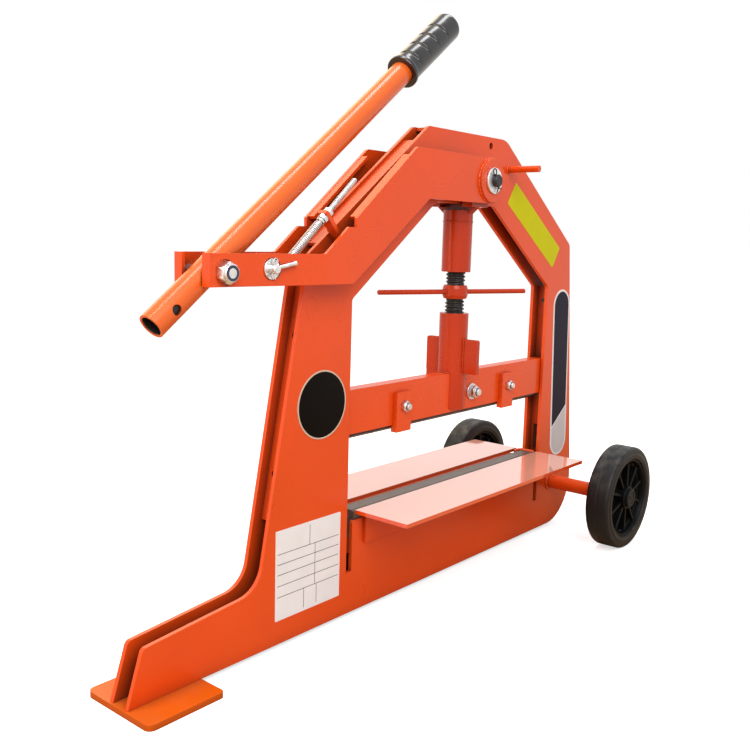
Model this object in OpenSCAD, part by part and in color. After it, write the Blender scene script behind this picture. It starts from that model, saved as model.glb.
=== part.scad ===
// Masonry block splitter: lever press on a two-plate frame with wheels, with a screw jack and a guided beam
// Millimetres. X runs from the foot to the wheels, -Y is the left side, Z is up from the ground.

/* [Frame] */
// Thickness of each side plate
plate_t = 6; // [4:0.5:7]
// Width over both side plates
frame_w = 36; // [35:0.5:37]
// Foot tip to the front edge of the window
foot_l = 379; // [330:1:430]
// Width of the front post near its foot
post_w = 167; // [145:1:190]
// Clear length of the window between the posts
window_l = 555; // [480:1:640]
// Height of the head's top edge above the beam at rest
head_top = 388; // [350:1:430]
// Depth of the head
head_band = 112; // [95:1:130]
// Width of the front arm
front_band = 104; // [90:1:120]
// Slope of the front arm
front_a = 37; // [35:0.5:38.5]
// Drop from the window's top edge to where the front arm leaves its post
front_arm_z = 144; // [125:1:160]
// Width of the rear arm
rear_band = 108; // [95:1:125]
// Slope of the rear arm
rear_a = 35; // [33:0.5:37]
// Drop from the window's top edge to where the rear arm leaves its post
rear_arm_z = 139; // [120:1:155]
// Length of the base behind the window
base_l = 134; // [115:1:160]
// Radius of the base's rear corner
rear_r = 85; // [60:1:100]
// Lean of the rear edge
rear_lean = 7; // [5:0.5:8]
// Lean of the front post's front edge
post_lean = 10.7; // [9.5:0.1:11.5]
// Height of the foot plates above the pad
foot_h = 70; // [60:1:80]
// Thickness of the webs between the plates
web_t = 5; // [4:0.5:6]
// Length of the foot pad
pad_l = 112; // [95:1:130]
// Width of the foot pad
pad_w = 126; // [105:1:150]
// Thickness of the foot pad
pad_t = 8; // [6:0.5:10]
// Length of the peg on the head
peg_l = 60; // [40:1:75]

/* [Bed] */
// Height of the tables
table_top = 167; // [145:1:190]
// Overall width across both tables
table_w = 238; // [200:1:270]
// Thickness of each table
table_t = 6; // [4:0.5:8]
// Width of the lower blade between the plates
low_blade_w = 20; // [16:1:22]
// Width of the lower blade's head on the plates
low_head_w = 32; // [26:1:36]

/* [Beam] */
// Height of the beam's top edge above the tables at rest
beam_top = 178; // [165:1:195]
// Depth of the beam
beam_h = 66; // [56:1:76]
// Thickness of the beam
beam_t = 22; // [20:0.5:22.5]
// Depth of the upper blade below the beam
blade_drop = 8; // [6:0.5:10]
// Spacing of the blade clamps
clamp_span = 302; // [250:1:360]

/* [Jack] */
// Outside diameter of both jack tubes
jack_d = 48.3; // [44:0.1:56]
// Outside diameter of the screw
screw_d = 32; // [28:1:34]
// Screw pitch
pitch = 6; // [5:0.5:7]
// Height of the hand rod above the beam at rest
rod_z = 134; // [120:1:150]
// Diameter of the hub
hub_d = 42; // [40:1:46]
// Height of the hub
hub_h = 22; // [18:1:26]
// Diameter of the hand rod
rod_d = 8; // [6:0.5:10]
// Length of the hand rod
rod_l = 300; // [240:1:340]
// Angle of the hand rod at rest
rod_a = -18.5; // [-90:0.5:90]

/* [Lever] */
// Width over the lever plates
lever_w = 100; // [90:1:116]
// Thickness of each lever plate
lever_t = 5; // [4:0.5:6]
// Width over the nose tip
nose_w = 66; // [60:1:74]
// Height of the nose
nose_h = 40; // [36:1:48]
// Drop from the pivot to the nose's lower edge
nose_z = 158; // [145:1:170]
// Length of the nose tip ahead of the window
nose_x = 269; // [245:1:295]
// Place of the bend in the lever plates ahead of the window
bend_x = 89; // [70:1:105]
// Radius of the lever's round end
lever_r = 36; // [31:0.1:41]
// Height of the lever pivot above the window
pivot_z = 38; // [35:0.2:44]
// Diameter of the pivot pin
pivot_d = 20; // [16:1:24]
// Offset of the eccentrics from the pivot
throw_e = 16; // [13:0.5:18]
// Angle of the eccentrics above level at rest
throw_a = 5; // [0:0.5:8]
// Diameter of the boss discs
disc_d = 68; // [56:1:80]

/* [Handle] */
// Outside diameter of the handle tube
tube_d = 33.7; // [28:0.1:38]
// Wall of the handle tube
tube_wall = 3.2; // [2.5:0.1:4]
// Length of the tube above its bolt
tube_up = 604; // [500:1:720]
// Length of the tube below its bolt
tube_down = 101; // [90:1:120]
// Slope of the folded handle
tube_a = 38; // [37.5:0.5:42]
// Diameter of the grip
grip_d = 44; // [41:1:50]
// Length of the grip
grip_l = 143; // [120:1:180]
// Diameter of the nose bolt
bolt_d = 16; // [12:1:18]
// Diameter of the lock pin
lock_d = 12; // [10:1:14]
// Nose bolt to lock pin
lock_x = 70; // [60:1:80]

/* [Return spring] */
// Outside diameter of the spring
spring_d = 12; // [10:0.5:14]
// Diameter of the spring wire
wire_d = 2; // [1.6:0.1:2.2]
// Number of curls
curls = 32; // [20:1:34]
// Length of the coiled part
coil_l = 88; // [86:1:110]

/* [Wheels] */
// Diameter of the wheels
wheel_d = 191; // [160:1:220]
// Width of the wheels
wheel_w = 46; // [38:1:54]
// Thickness of the tyres
tyre_t = 22; // [17:1:27]
// Distance between the wheels' middles
track = 330; // [320:1:370]
// Diameter of the axle tube
axle_d = 27; // [25:0.5:32]
// Diameter of the axle's ends
stub_d = 20; // [16:1:22]
// Rear edge of the window to the axle
axle_x = 51; // [42:1:60]

/* [Hidden] */
$fn = 72;
fit = 0.05;
cut = 1;
plate_out = frame_w / 2;
gap_in = plate_out - plate_t;
wx0 = foot_l;
wx1 = foot_l + window_l;
jack_x = (wx0 + wx1) / 2;
axle_mid = wx1 + axle_x;
axle_z = wheel_d / 2;
base_end = wx1 + base_l;
pad_x0 = -3;
x_mid = (pad_x0 + axle_mid + wheel_d / 2) / 2;

// Heights above the ground, from the tables up
beam_high = table_top + beam_top;
beam_bot = beam_high - beam_h;
rod_mid = beam_high + rod_z;
head_high = beam_high + head_top;
head_bot = head_high - head_band;
pivot_mid = head_bot + pivot_z;
nose_low = pivot_mid - nose_z;
nose_top = nose_low + nose_h;

// Frame outline
foot_rake = 22;
foot_top_a = 5.5;
foot_tip = [0, pad_t];
foot_nose = [foot_rake, pad_t + foot_h];
post_a = 90 - post_lean;
post_foot_z = 130;
post_low = [wx0 - post_w, post_foot_z];
foot_corner = meet(foot_nose, foot_top_a, post_low, post_a);
arm_in = [wx0, head_bot - front_arm_z];
arm_out = arm_in + front_band * [-sin(front_a), cos(front_a)];
post_top = meet(post_low, post_a, arm_out, front_a);
head_front = meet(arm_out, front_a, [0, head_high], 0);
rear_in = [wx1, head_bot - rear_arm_z];
rear_out = rear_in + rear_band * [sin(rear_a), cos(rear_a)];
head_rear = meet(rear_out, 180 - rear_a, [0, head_high], 0);
rear_line = [base_end, pad_t + rear_r];
shoulder = meet(rear_out, 180 - rear_a, rear_line, 90 + rear_lean);
base_rear = meet(rear_line, 90 + rear_lean, foot_tip, 0);
win_front = meet(arm_in, front_a, [0, head_bot], 0);
win_rear = meet(rear_in, 180 - rear_a, [0, head_bot], 0);
tongue_drop = 11;
tongue_r = 6;
slit_w = 12;
slit_front_h = 78;
slit_rear_h = 84;
tongue_z = table_top - table_t - tongue_drop;
slit_front_z = tongue_z - slit_front_h;
slit_rear_z = tongue_z - slit_rear_h;
hole_d = 11;
hole_back = 45;
hole_down = 14;

// Webs between the plates
arm_l = norm(head_front - post_top);
rear_l = norm(shoulder - head_rear);
post_l = norm(post_top - foot_corner);
web_in = 15;
web_edge = 4;
web_hole_d = 11;
web_holes = [0.34, 0.76];
post_web_low = 90;
post_web_high = 40;
arm_web_low = 30;
arm_web_high = 32;
rear_web_high = 24;
rear_web_low = 16;
rear_slot_side = 4;
rear_slot_up = 12;
rear_slot_h = 50;
rear_hole_down = 28;
cap_front = 6;
cap_rear = 22;
cap_down = 1;
guide_down = 8;
guide_in = 21;
strip_in = 34;
strip_out = 20;
peg_d = 11;
peg_in = 40;
peg_up = 64;
peg_at = [win_rear[0] + peg_in, head_bot + peg_up];

// Bed
table_in = 1;
table_side = 3.5;
table_y0 = plate_out + table_side;
blade_in = 4;
table_x0 = wx0 + slit_w + table_in;
table_x1 = wx1 - slit_w - blade_in;
blade_x0 = wx0 + slit_w + blade_in;
blade_x1 = wx1 - slit_w - blade_in;
blade_sink = 3;
blade_edge = 2;
blade_flat = 22;
blade_tip = 4;
blade_side = 0.45;
low_blade_top = table_top - blade_sink;
low_blade_h = 44;
bed_h = 24;
bed_z = low_blade_top - low_blade_h - bed_h;
bearer_t = 5;
bearer_w = 60;
bearer_h = 50;
bearer_in = 24;

// Beam
beam_end = 3;
beam_x0 = wx0 - guide_in + beam_end;
beam_x1 = wx1 + guide_in - beam_end;
blade_w = 16;
blade_end = 4;
clamp_w = 36;
clamp_t = 8;
clamp_lip = 3;
clamp_down = 15;
clamp_up = 29;
clamp_d = 10;
clamp_z0 = beam_bot - blade_drop - clamp_lip;
clamp_z1 = beam_high - clamp_down;
clamp_bolt_z = beam_bot + clamp_up;
saddle_d = 12;
saddle_in = 44;
saddle_x = jack_x + saddle_in;
saddle_washer_d = 28;
washer_t = 3;
bolt_tail = 4;
clamp_head = 6;
clamp_nut = 8;
saddle_head = 7;
saddle_nut = 11;

// Jack
stop_gap = 0.3;
yoke_top = head_bot - stop_gap;
yoke_t = 12;
ear_gap = 4;
ear_play = 3;
ear_neck = 44;
ecc_wall = 3;
ear_wall = 5.5;
ecc_gap = 1;
arm_half = lever_w / 2;
ear_in = plate_out + ear_gap;
yoke_half = arm_half - lever_t - ear_play;
ecc_r = throw_e + pivot_d / 2 + ecc_wall;
ear_r = ecc_r + ear_wall;
pivot_x = jack_x + throw_e * cos(throw_a);
ecc_x = jack_x;
ecc_z = pivot_mid + throw_e * sin(throw_a);
upper_gap = 22;
lower_gap = 24;
yoke_flare = 9;
yoke_lap = 24;
yoke_neck = 6;
ear_foot = 4;
rod_gap = 1;
bore_end = 8;
foot_floor = 12;
foot_lap = 6;
head_tube_z0 = rod_mid + hub_h / 2 + upper_gap;
head_tube_z1 = yoke_top - yoke_flare;
foot_tube_z1 = rod_mid - hub_h / 2 - lower_gap;
foot_tube_z0 = beam_bot + foot_lap;
up_stroke = 18;
screw_gap = 2;
screw_top = head_tube_z1 - bore_end - screw_gap - up_stroke;
screw_bot = beam_high + foot_floor + screw_gap + up_stroke;
hub_edge = min(2, (hub_d - screw_d) / 4);
fin_half = 51;
fin_t = 8;
fin_h = 57;
fin_r = 4;
fin_top = beam_high + fin_h;

// Lever
tip_half = nose_w / 2;
nose_tip = wx0 - nose_x;
bend_at = wx0 - bend_x;
low_ahead = 34;
knee_behind = 132;
top_behind = 99;
lever_low_x = wx0 - low_ahead;
lever_knee = [wx0 + knee_behind, pivot_mid - lever_r];
lever_top_x = wx0 + top_behind;
lever_slope = atan2(pivot_mid + lever_r - nose_top, lever_top_x - bend_at);
lever_run = norm([lever_top_x - bend_at, pivot_mid + lever_r - nose_top]);
relief_s = 68.5;
relief_d = 9.5;
relief_w = 24;
relief_at = [bend_at, nose_top] + relief_s * [cos(lever_slope), sin(lever_slope)]
    + relief_d * [sin(lever_slope), -cos(lever_slope)];
flange_w = 16;
flange_in = relief_s + 11.5;
flange_out = 18;
flange_set = 0.5;
tube_side = 2.15;
tip_gap = tube_d + 2 * tube_side;
disc_t = 5;
disc_gap = 0.4;
washer_d = pivot_d + 21;
washer_gap = 0.1;
pin_end = arm_half + disc_t + disc_gap + washer_t + washer_gap;
pin_tail = 8;
pivot_split_d = 4;
pivot_split_in = 3;
seat_in = 1.3;
seat_edge = 1;
bolt_in = 21;
bolt_down = 3;
bolt_at = [nose_tip + bolt_in, nose_low + nose_h / 2 - bolt_down];
lock_up = 4;
lock_at = [bolt_at[0] + lock_x, bolt_at[1] + lock_up];
bolt_y = seat_y(bolt_at[0]);
lock_y = seat_y(lock_at[0]);
nut_af = bolt_d * 1.5;
nut_h = bolt_d;
nut_seat_d = nut_af + 8;
nut_collar = 3;
nut_step = 2;
nose_head = 10;
nose_tail = 5;
lock_washer_d = lock_d + 14;
lock_washer_t = 2.5;
lock_split_d = 3;
lock_split_in = 7;
lock_play = 1;
lock_tail = 12;
lock_head = 5;

// Return spring
spring_side = 8;
spring_y = -plate_out - spring_side;
spring_a = 41;
spring_back = 17.4;
spring_drop = 12.4;
spring_at = lock_at + [spring_back, -spring_drop];
spring_peg_d = 10;
spring_peg_head = 2;
coil_s0 = 20;
coil_s1 = coil_s0 + coil_l;
coil_lead = 16;
spring_span = coil_s1 + coil_lead;
lug_at = spring_at + spring_span * [cos(spring_a), sin(spring_a)];
coil_r = (spring_d - wire_d) / 2;
rings = 8;
sides = 6;
collar = 3;
shank_in = 12;
eye_t = 5;
shank_d = spring_d - 2 * wire_d - 1;
eye_d = spring_peg_d + 10;
adjuster_d = 8;
adjuster_tail = 76.5;
adjuster_end = spring_span + adjuster_tail;
adjuster_nut = 6.5;
lug_t = 6;
lug_w = 7;
lug_lap = 22;
lug_h = lug_lap + (lug_at - arm_out) * [-sin(front_a), cos(front_a)];

// Handle
grip_cap = 4;
grip_dome = 10;
grip_flange = 3;
grip_flange_t = 5;
grip_flange_taper = 4;

// Wheels
hub_half = wheel_w / 2 - 2;
hub_r = stub_d / 2 + 12;
rim_r = wheel_d / 2 - tyre_t;
rim_lip = 5;
rim_taper = 3;
rim_web = 6;
ribs = 10;
rib_w = 5;
rib_h = 10;
rib_lap = 2;
tyre_edge = 10;
tyre_lip = 2;
cap_gap = 0.6;
cap_t = 3;
cap_wall = 7;
axle_gap = 2;
axle_end = track / 2 + wheel_w / 2 + cap_t;

// Plane geometry
function meet(p, a, q, b) =
    let (d = [cos(a), sin(a)], e = [cos(b), sin(b)], w = q - p)
    p + d * (w[0] * e[1] - w[1] * e[0]) / (d[0] * e[1] - d[1] * e[0]);
function unit(v) = v / norm(v);
function turn(a) = a > 180 ? a - 360 : a < -180 ? a + 360 : a;
function corner(a, b, c, r) =
    let (
        u = unit(a - b),
        v = unit(c - b),
        half = acos(u * v) / 2,
        centre = b + unit(u + v) * r / sin(half),
        p = b + u * r / tan(half) - centre,
        q = b + v * r / tan(half) - centre,
        start = atan2(p[1], p[0]),
        sweep = turn(atan2(q[1], q[0]) - start),
        n = ceil(abs(sweep) / 10) + 1
    )
    [for (k = [0:n]) centre + r * [cos(start + sweep * k / n), sin(start + sweep * k / n)]];
function at2(v) = [v[0], v[1]];
function rounded(pts) =
    let (n = len(pts))
    [for (i = [0:n - 1])
        each pts[i][2] == 0
            ? [at2(pts[i])]
            : corner(at2(pts[(i + n - 1) % n]), at2(pts[i]), at2(pts[(i + 1) % n]), pts[i][2])];
function with_r(p, r) = [p[0], p[1], r];

// Lever half-width along the nose, and the flat seats cut for its fasteners
function half_at(x) = tip_half + (x - nose_tip) * (arm_half - tip_half) / (bend_at - nose_tip);
function seat_y(x) = half_at(x) - seat_in;

// Placing
module centred() translate([-x_mid, 0, 0]) children();
module xz(y0, y1) translate([0, y1, 0]) rotate([90, 0, 0]) linear_extrude(y1 - y0) children();
module yz(x0, x1) translate([x0, 0, 0]) rotate([90, 0, 90]) linear_extrude(x1 - x0) children();
module box(x0, x1, y0, y1, z0, z1) translate([x0, y0, z0]) cube([x1 - x0, y1 - y0, z1 - z0]);
module rod_y(p, y0, y1, d) translate([p[0], y1, p[1]]) rotate([90, 0, 0]) cylinder(d = d, h = y1 - y0);
module hex_y(p, y0, y1, af)
    translate([p[0], y1, p[1]]) rotate([90, 0, 0]) cylinder(d = af / cos(30), h = y1 - y0, $fn = 6);
module tube_z(z0, z1, d) translate([jack_x, 0, z0]) cylinder(d = d, h = z1 - z0);
module along(p, a, y = 0) translate([p[0], y, p[1]]) rotate([0, -a, 0]) children();
module both() {
    children();
    mirror([0, 1, 0]) children();
}

// Frame
module frame_outline()
    polygon(rounded([
        with_r(foot_tip, 0),
        with_r(foot_nose, 8),
        with_r(foot_corner, 42),
        with_r(post_top, 10),
        with_r(head_front, 5),
        with_r(head_rear, 40),
        with_r(shoulder, 14),
        with_r(base_rear, rear_r)
    ]));

module window_outline()
    polygon(rounded([
        [wx0, slit_front_z, 0],
        with_r(arm_in, 8),
        with_r(win_front, 8),
        with_r(win_rear, 8),
        with_r(rear_in, 8),
        [wx1, slit_rear_z, 0],
        [wx1 - slit_w, slit_rear_z, 0],
        [wx1 - slit_w, tongue_z, tongue_r],
        [wx0 + slit_w, tongue_z, tongue_r],
        [wx0 + slit_w, slit_front_z, 0]
    ]));

module side_plate(y0, y1)
    difference() {
        xz(y0, y1) frame_outline();
        xz(y0 - cut, y1 + cut) window_outline();
        rod_y([axle_mid, axle_z], y0 - cut, y1 + cut, axle_d);
        rod_y([pivot_x, pivot_mid], y0 - cut, y1 + cut, pivot_d);
        rod_y([pivot_x + hole_back, head_high - hole_down], y0 - cut, y1 + cut, hole_d);
    }

module side_plate_left() color("orangered") centred() side_plate(-plate_out, -gap_in);
module side_plate_right() color("orangered") centred() side_plate(gap_in, plate_out);

module front_web()
    color("orangered") centred() along(foot_corner, post_a)
        difference() {
            translate([post_web_low, -gap_in, -web_in - web_t])
                cube([post_l - post_web_low - post_web_high, 2 * gap_in, web_t]);
            for (s = web_holes)
                translate([post_l * s, 0, -web_in - web_t - cut])
                    cylinder(d = web_hole_d, h = web_t + 2 * cut);
        }

module arm_web()
    color("orangered") centred() along(post_top, front_a)
        translate([arm_web_low, -gap_in, -web_edge - web_t])
            cube([arm_l - arm_web_low - arm_web_high, 2 * gap_in, web_t]);

module head_cap()
    color("orangered") centred()
        box(head_front[0] + cap_front, head_rear[0] - cap_rear, -gap_in, gap_in,
            head_high - web_t - cap_down, head_high - cap_down);

module rear_arm_web()
    color("orangered") centred() along(head_rear, -rear_a)
        translate([rear_web_high, -gap_in, -web_edge - web_t])
            cube([rear_l - rear_web_high - rear_web_low, 2 * gap_in, web_t]);

module rear_web()
    color("orangered") centred()
        difference() {
            box(wx1 + guide_in, wx1 + guide_in + web_t, -gap_in, gap_in, tongue_z, rear_in[1]);
            box(wx1 + guide_in - cut, wx1 + guide_in + web_t + cut,
                rear_slot_side - gap_in, gap_in - rear_slot_side,
                tongue_z + rear_slot_up, tongue_z + rear_slot_up + rear_slot_h);
            translate([wx1 + guide_in - cut, 0, rear_in[1] - rear_hole_down]) rotate([0, 90, 0])
                cylinder(d = web_hole_d, h = web_t + 2 * cut);
        }

module guide_web()
    color("orangered") centred()
        box(wx0 - guide_in - web_t, wx0 - guide_in, -gap_in, gap_in, tongue_z, arm_in[1] - guide_down);

module base_strip()
    color("orangered") centred()
        box(strip_in, base_end - rear_r - strip_out, -gap_in, gap_in, pad_t, pad_t + web_t);

module foot_pad()
    color("orangered") centred()
        linear_extrude(pad_t) polygon(rounded([
            [pad_x0, -pad_w / 2, 10],
            [pad_x0 + pad_l, -pad_w / 2, 6],
            [pad_x0 + pad_l, pad_w / 2, 6],
            [pad_x0, pad_w / 2, 10]
        ]));

module peg()
    color("orangered") centred() rod_y(peg_at, -plate_out - peg_l, -plate_out, peg_d);

// Bed
module bed_bar()
    color("orangered") centred() box(blade_x0, blade_x1, -gap_in, gap_in, bed_z, bed_z + bed_h);

module lower_blade()
    color("dimgray") centred()
        yz(blade_x0, blade_x1)
            polygon([
                [-low_blade_w / 2, bed_z + bed_h],
                [low_blade_w / 2, bed_z + bed_h],
                [low_blade_w / 2, tongue_z],
                [low_head_w / 2, tongue_z],
                [low_head_w / 2, low_blade_top - blade_edge],
                [blade_flat / 2, low_blade_top],
                [-blade_flat / 2, low_blade_top],
                [-low_head_w / 2, low_blade_top - blade_edge],
                [-low_head_w / 2, tongue_z],
                [-low_blade_w / 2, tongue_z]
            ]);

module table()
    box(table_x0, table_x1, table_y0, table_w / 2, table_top - table_t, table_top);
module table_left() color("orangered") centred() mirror([0, 1, 0]) table();
module table_right() color("orangered") centred() table();

module bearer()
    yz(table_x0 + bearer_in, table_x1 - bearer_in)
        polygon([
            [plate_out, table_top - table_t - bearer_h],
            [plate_out + bearer_t, table_top - table_t - bearer_h],
            [plate_out + bearer_t, table_top - table_t - bearer_t],
            [plate_out + bearer_w, table_top - table_t - bearer_t],
            [plate_out + bearer_w, table_top - table_t],
            [plate_out, table_top - table_t]
        ]);
module bearer_left() color("orangered") centred() mirror([0, 1, 0]) bearer();
module bearer_right() color("orangered") centred() bearer();

// Beam
module beam()
    color("orangered") centred()
        difference() {
            box(beam_x0, beam_x1, -beam_t / 2, beam_t / 2, beam_bot, beam_high);
            for (x = [jack_x - clamp_span / 2, jack_x + clamp_span / 2])
                rod_y([x, clamp_bolt_z], -beam_t, beam_t, clamp_d);
            rod_y([saddle_x, clamp_bolt_z], -beam_t, beam_t, saddle_d);
        }

module upper_blade()
    color("dimgray") centred()
        yz(wx0 + blade_end, wx1 - blade_end)
            polygon([
                [-blade_w / 2, beam_bot],
                [blade_w / 2, beam_bot],
                [blade_w / 2, beam_bot - blade_drop * blade_side],
                [blade_tip / 2, beam_bot - blade_drop],
                [-blade_tip / 2, beam_bot - blade_drop],
                [-blade_w / 2, beam_bot - blade_drop * blade_side]
            ]);

module clamp_at(x)
    difference() {
        union() {
            box(x - clamp_w / 2, x + clamp_w / 2, beam_t / 2, beam_t / 2 + clamp_t, clamp_z0, clamp_z1);
            box(x - clamp_w / 2, x + clamp_w / 2, blade_w / 2, beam_t / 2, clamp_z0, beam_bot);
        }
        rod_y([x, clamp_bolt_z], beam_t / 2 - cut, beam_t / 2 + clamp_t + cut, clamp_d);
    }
module clamps() {
    clamp_at(jack_x - clamp_span / 2);
    clamp_at(jack_x + clamp_span / 2);
}
module clamp_left() color("orangered") centred() mirror([0, 1, 0]) clamps();
module clamp_right() color("orangered") centred() clamps();

module bolt_set(p, y, d, head, nut) {
    rod_y(p, -y - nut - bolt_tail, y, d);
    hex_y(p, y, y + head, d * 1.6);
    hex_y(p, -y - nut, -y, d * 1.6);
}

module clamp_bolts()
    color("silver") centred()
        for (x = [jack_x - clamp_span / 2, jack_x + clamp_span / 2])
            bolt_set([x, clamp_bolt_z], beam_t / 2 + clamp_t, clamp_d, clamp_head, clamp_nut);

module saddle_bolt()
    color("silver") centred() {
        bolt_set([saddle_x, clamp_bolt_z], beam_t / 2 + washer_t, saddle_d, saddle_head, saddle_nut);
        both() rod_y([saddle_x, clamp_bolt_z], beam_t / 2, beam_t / 2 + washer_t, saddle_washer_d);
    }

// Jack
module jack_foot()
    color("orangered") centred()
        difference() {
            union() {
                tube_z(foot_tube_z0, foot_tube_z1, jack_d);
                yz(jack_x - fin_t / 2, jack_x + fin_t / 2)
                    polygon(rounded([
                        [-fin_half, beam_high, 0],
                        [fin_half, beam_high, 0],
                        [fin_half, fin_top, fin_r],
                        [-fin_half, fin_top, fin_r]
                    ]));
            }
            tube_z(beam_high + foot_floor, foot_tube_z1 + cut, screw_d + 2 * fit);
            box(jack_x - jack_d, jack_x + jack_d, -beam_t / 2, beam_t / 2, foot_tube_z0 - cut, beam_high);
        }

module thread(z0, z1) {
    turns = floor((z1 - z0) / pitch);
    translate([jack_x, 0, z0])
        rotate_extrude()
            polygon(concat(
                [[0, 0]],
                [for (k = [0:turns - 1]) each [
                    [screw_d / 2 - pitch * 0.4, k * pitch],
                    [screw_d / 2, (k + 0.3) * pitch],
                    [screw_d / 2, (k + 0.6) * pitch],
                    [screw_d / 2 - pitch * 0.4, (k + 0.9) * pitch]
                ]],
                [[screw_d / 2 - pitch * 0.4, z1 - z0], [0, z1 - z0]]
            ));
}

module screw()
    color("dimgray") centred() {
        thread(screw_bot, rod_mid - hub_h / 2);
        tube_z(rod_mid - hub_h / 2, rod_mid + hub_h / 2, screw_d);
        thread(rod_mid + hub_h / 2, screw_top);
    }

module hub()
    color("orangered") centred()
        translate([jack_x, 0, rod_mid])
            difference() {
                rotate_extrude()
                    polygon([
                        [screw_d / 2 + fit, -hub_h / 2],
                        [hub_d / 2 - hub_edge, -hub_h / 2],
                        [hub_d / 2, -hub_h / 4],
                        [hub_d / 2, hub_h / 4],
                        [hub_d / 2 - hub_edge, hub_h / 2],
                        [screw_d / 2 + fit, hub_h / 2]
                    ]);
                rotate([0, 90, rod_a]) translate([0, 0, -hub_d]) cylinder(d = rod_d, h = 2 * hub_d);
            }

module hand_rod()
    color("orangered") centred()
        translate([jack_x, 0, rod_mid])
            for (s = [0, 180])
                rotate([0, 90, rod_a + s])
                    translate([0, 0, screw_d / 2 + rod_gap])
                        cylinder(d = rod_d, h = rod_l / 2 - screw_d / 2 - rod_gap);

module ear()
    difference() {
        union() {
            rod_y([ecc_x, ecc_z], ear_in, yoke_half, 2 * ear_r);
            box(ecc_x - ear_neck / 2, ecc_x + ear_neck / 2, ear_in, yoke_half, yoke_top - ear_foot, ecc_z);
        }
        rod_y([ecc_x, ecc_z], ear_in - cut, yoke_half + cut, 2 * (ecc_r + fit));
    }

module jack_head()
    color("orangered") centred() {
        difference() {
            union() {
                tube_z(head_tube_z0, head_tube_z1, jack_d);
                yz(jack_x - yoke_t / 2, jack_x + yoke_t / 2)
                    polygon([
                        [-jack_d / 2, head_tube_z1 - yoke_lap],
                        [jack_d / 2, head_tube_z1 - yoke_lap],
                        [jack_d / 2, head_tube_z1 - yoke_neck],
                        [yoke_half, yoke_top],
                        [-yoke_half, yoke_top],
                        [-jack_d / 2, head_tube_z1 - yoke_neck]
                    ]);
            }
            tube_z(head_tube_z0 - cut, head_tube_z1 - bore_end, screw_d + 2 * fit);
        }
        both() ear();
    }

// Lever
module lever_outline()
    polygon(rounded([
        [nose_tip, nose_low, 0],
        [lever_low_x, nose_low, 12],
        with_r(lever_knee, 14),
        [pivot_x + lever_r, pivot_mid - lever_r, lever_r - 0.01],
        [pivot_x + lever_r, pivot_mid + lever_r, lever_r - 0.01],
        [lever_top_x, pivot_mid + lever_r, 6],
        [bend_at, nose_top, 12],
        [nose_tip, nose_top, 0]
    ]));

module lever_band()
    polygon([
        [nose_tip, tip_half],
        [bend_at, arm_half],
        [pivot_x + 2 * lever_r, arm_half],
        [pivot_x + 2 * lever_r, arm_half - lever_t],
        [bend_at, arm_half - lever_t],
        [nose_tip, tip_half - lever_t]
    ]);

module flange_outline()
    translate([bend_at, nose_top]) rotate(lever_slope)
        translate([flange_in, -lever_t - flange_set])
            square([lever_run - flange_in - flange_out, lever_t]);

module lever_blank()
    intersection() {
        xz(0, arm_half + cut) lever_outline();
        translate([0, 0, nose_low - cut]) linear_extrude(nose_z + lever_r + 2 * cut) lever_band();
    }

module lever_plate()
    difference() {
        union() {
            lever_blank();
            box(nose_tip, nose_tip + lever_t, tip_gap / 2, tip_half, nose_low, nose_top);
            xz(arm_half - flange_w, arm_half) flange_outline();
        }
        box(relief_at[0] - relief_w, relief_at[0], 0, arm_half + cut, relief_at[1], relief_at[1] + relief_w);
        rod_y(bolt_at, tip_half - 2 * lever_t, arm_half, bolt_d);
        rod_y(bolt_at, bolt_y, arm_half, nut_seat_d);
        rod_y(lock_at, tip_half - 2 * lever_t, arm_half, lock_d);
        rod_y(lock_at, lock_y, arm_half, lock_washer_d + 2 * seat_edge);
        rod_y([pivot_x, pivot_mid], arm_half - 2 * lever_t, arm_half + cut, pivot_d + 2 * fit);
    }
module lever_plate_left() color("orangered") centred() mirror([0, 1, 0]) lever_plate();
module lever_plate_right() color("orangered") centred() lever_plate();

module eccentrics()
    color("dimgray") centred() both()
        difference() {
            rod_y([ecc_x, ecc_z], plate_out + ecc_gap, arm_half - lever_t, 2 * ecc_r);
            rod_y([pivot_x, pivot_mid], plate_out, arm_half, pivot_d + 2 * fit);
        }

module boss_discs()
    color("orangered") centred() both()
        difference() {
            rod_y([pivot_x, pivot_mid], arm_half, arm_half + disc_t, disc_d);
            rod_y([pivot_x, pivot_mid], arm_half - cut, arm_half + disc_t + cut, pivot_d + 2 * fit);
        }

module pivot_pin()
    color("silver") centred()
        difference() {
            rod_y([pivot_x, pivot_mid], -pin_end - pin_tail, pin_end + pin_tail, pivot_d);
            both() translate([pivot_x, pin_end + pivot_split_in, pivot_mid - pivot_d])
                cylinder(d = pivot_split_d, h = 2 * pivot_d);
        }

module pivot_washers()
    color("silver") centred() both()
        difference() {
            rod_y([pivot_x, pivot_mid], arm_half + disc_t + disc_gap, pin_end - washer_gap, washer_d);
            rod_y([pivot_x, pivot_mid], arm_half + disc_t, pin_end, pivot_d);
        }

module pivot_split_pin()
    color("silver") centred() both()
        translate([pivot_x, pin_end + pivot_split_in, pivot_mid - pivot_d * 0.75])
            cylinder(d = pivot_split_d, h = pivot_d * 1.5);

module nose_bolt()
    color("silver") centred() {
        rod_y(bolt_at, -bolt_y - nut_h - nose_tail, bolt_y, bolt_d);
        hex_y(bolt_at, bolt_y, bolt_y + nose_head, nut_af);
    }

module nose_nut()
    color("silver") centred()
        difference() {
            union() {
                hex_y(bolt_at, -bolt_y - nut_h + nut_collar, -bolt_y, nut_af);
                rod_y(bolt_at, -bolt_y - nut_h, -bolt_y - nut_h + nut_collar, nut_af - nut_step);
            }
            rod_y(bolt_at, -bolt_y - nut_h - cut, 0, bolt_d);
        }

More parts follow.
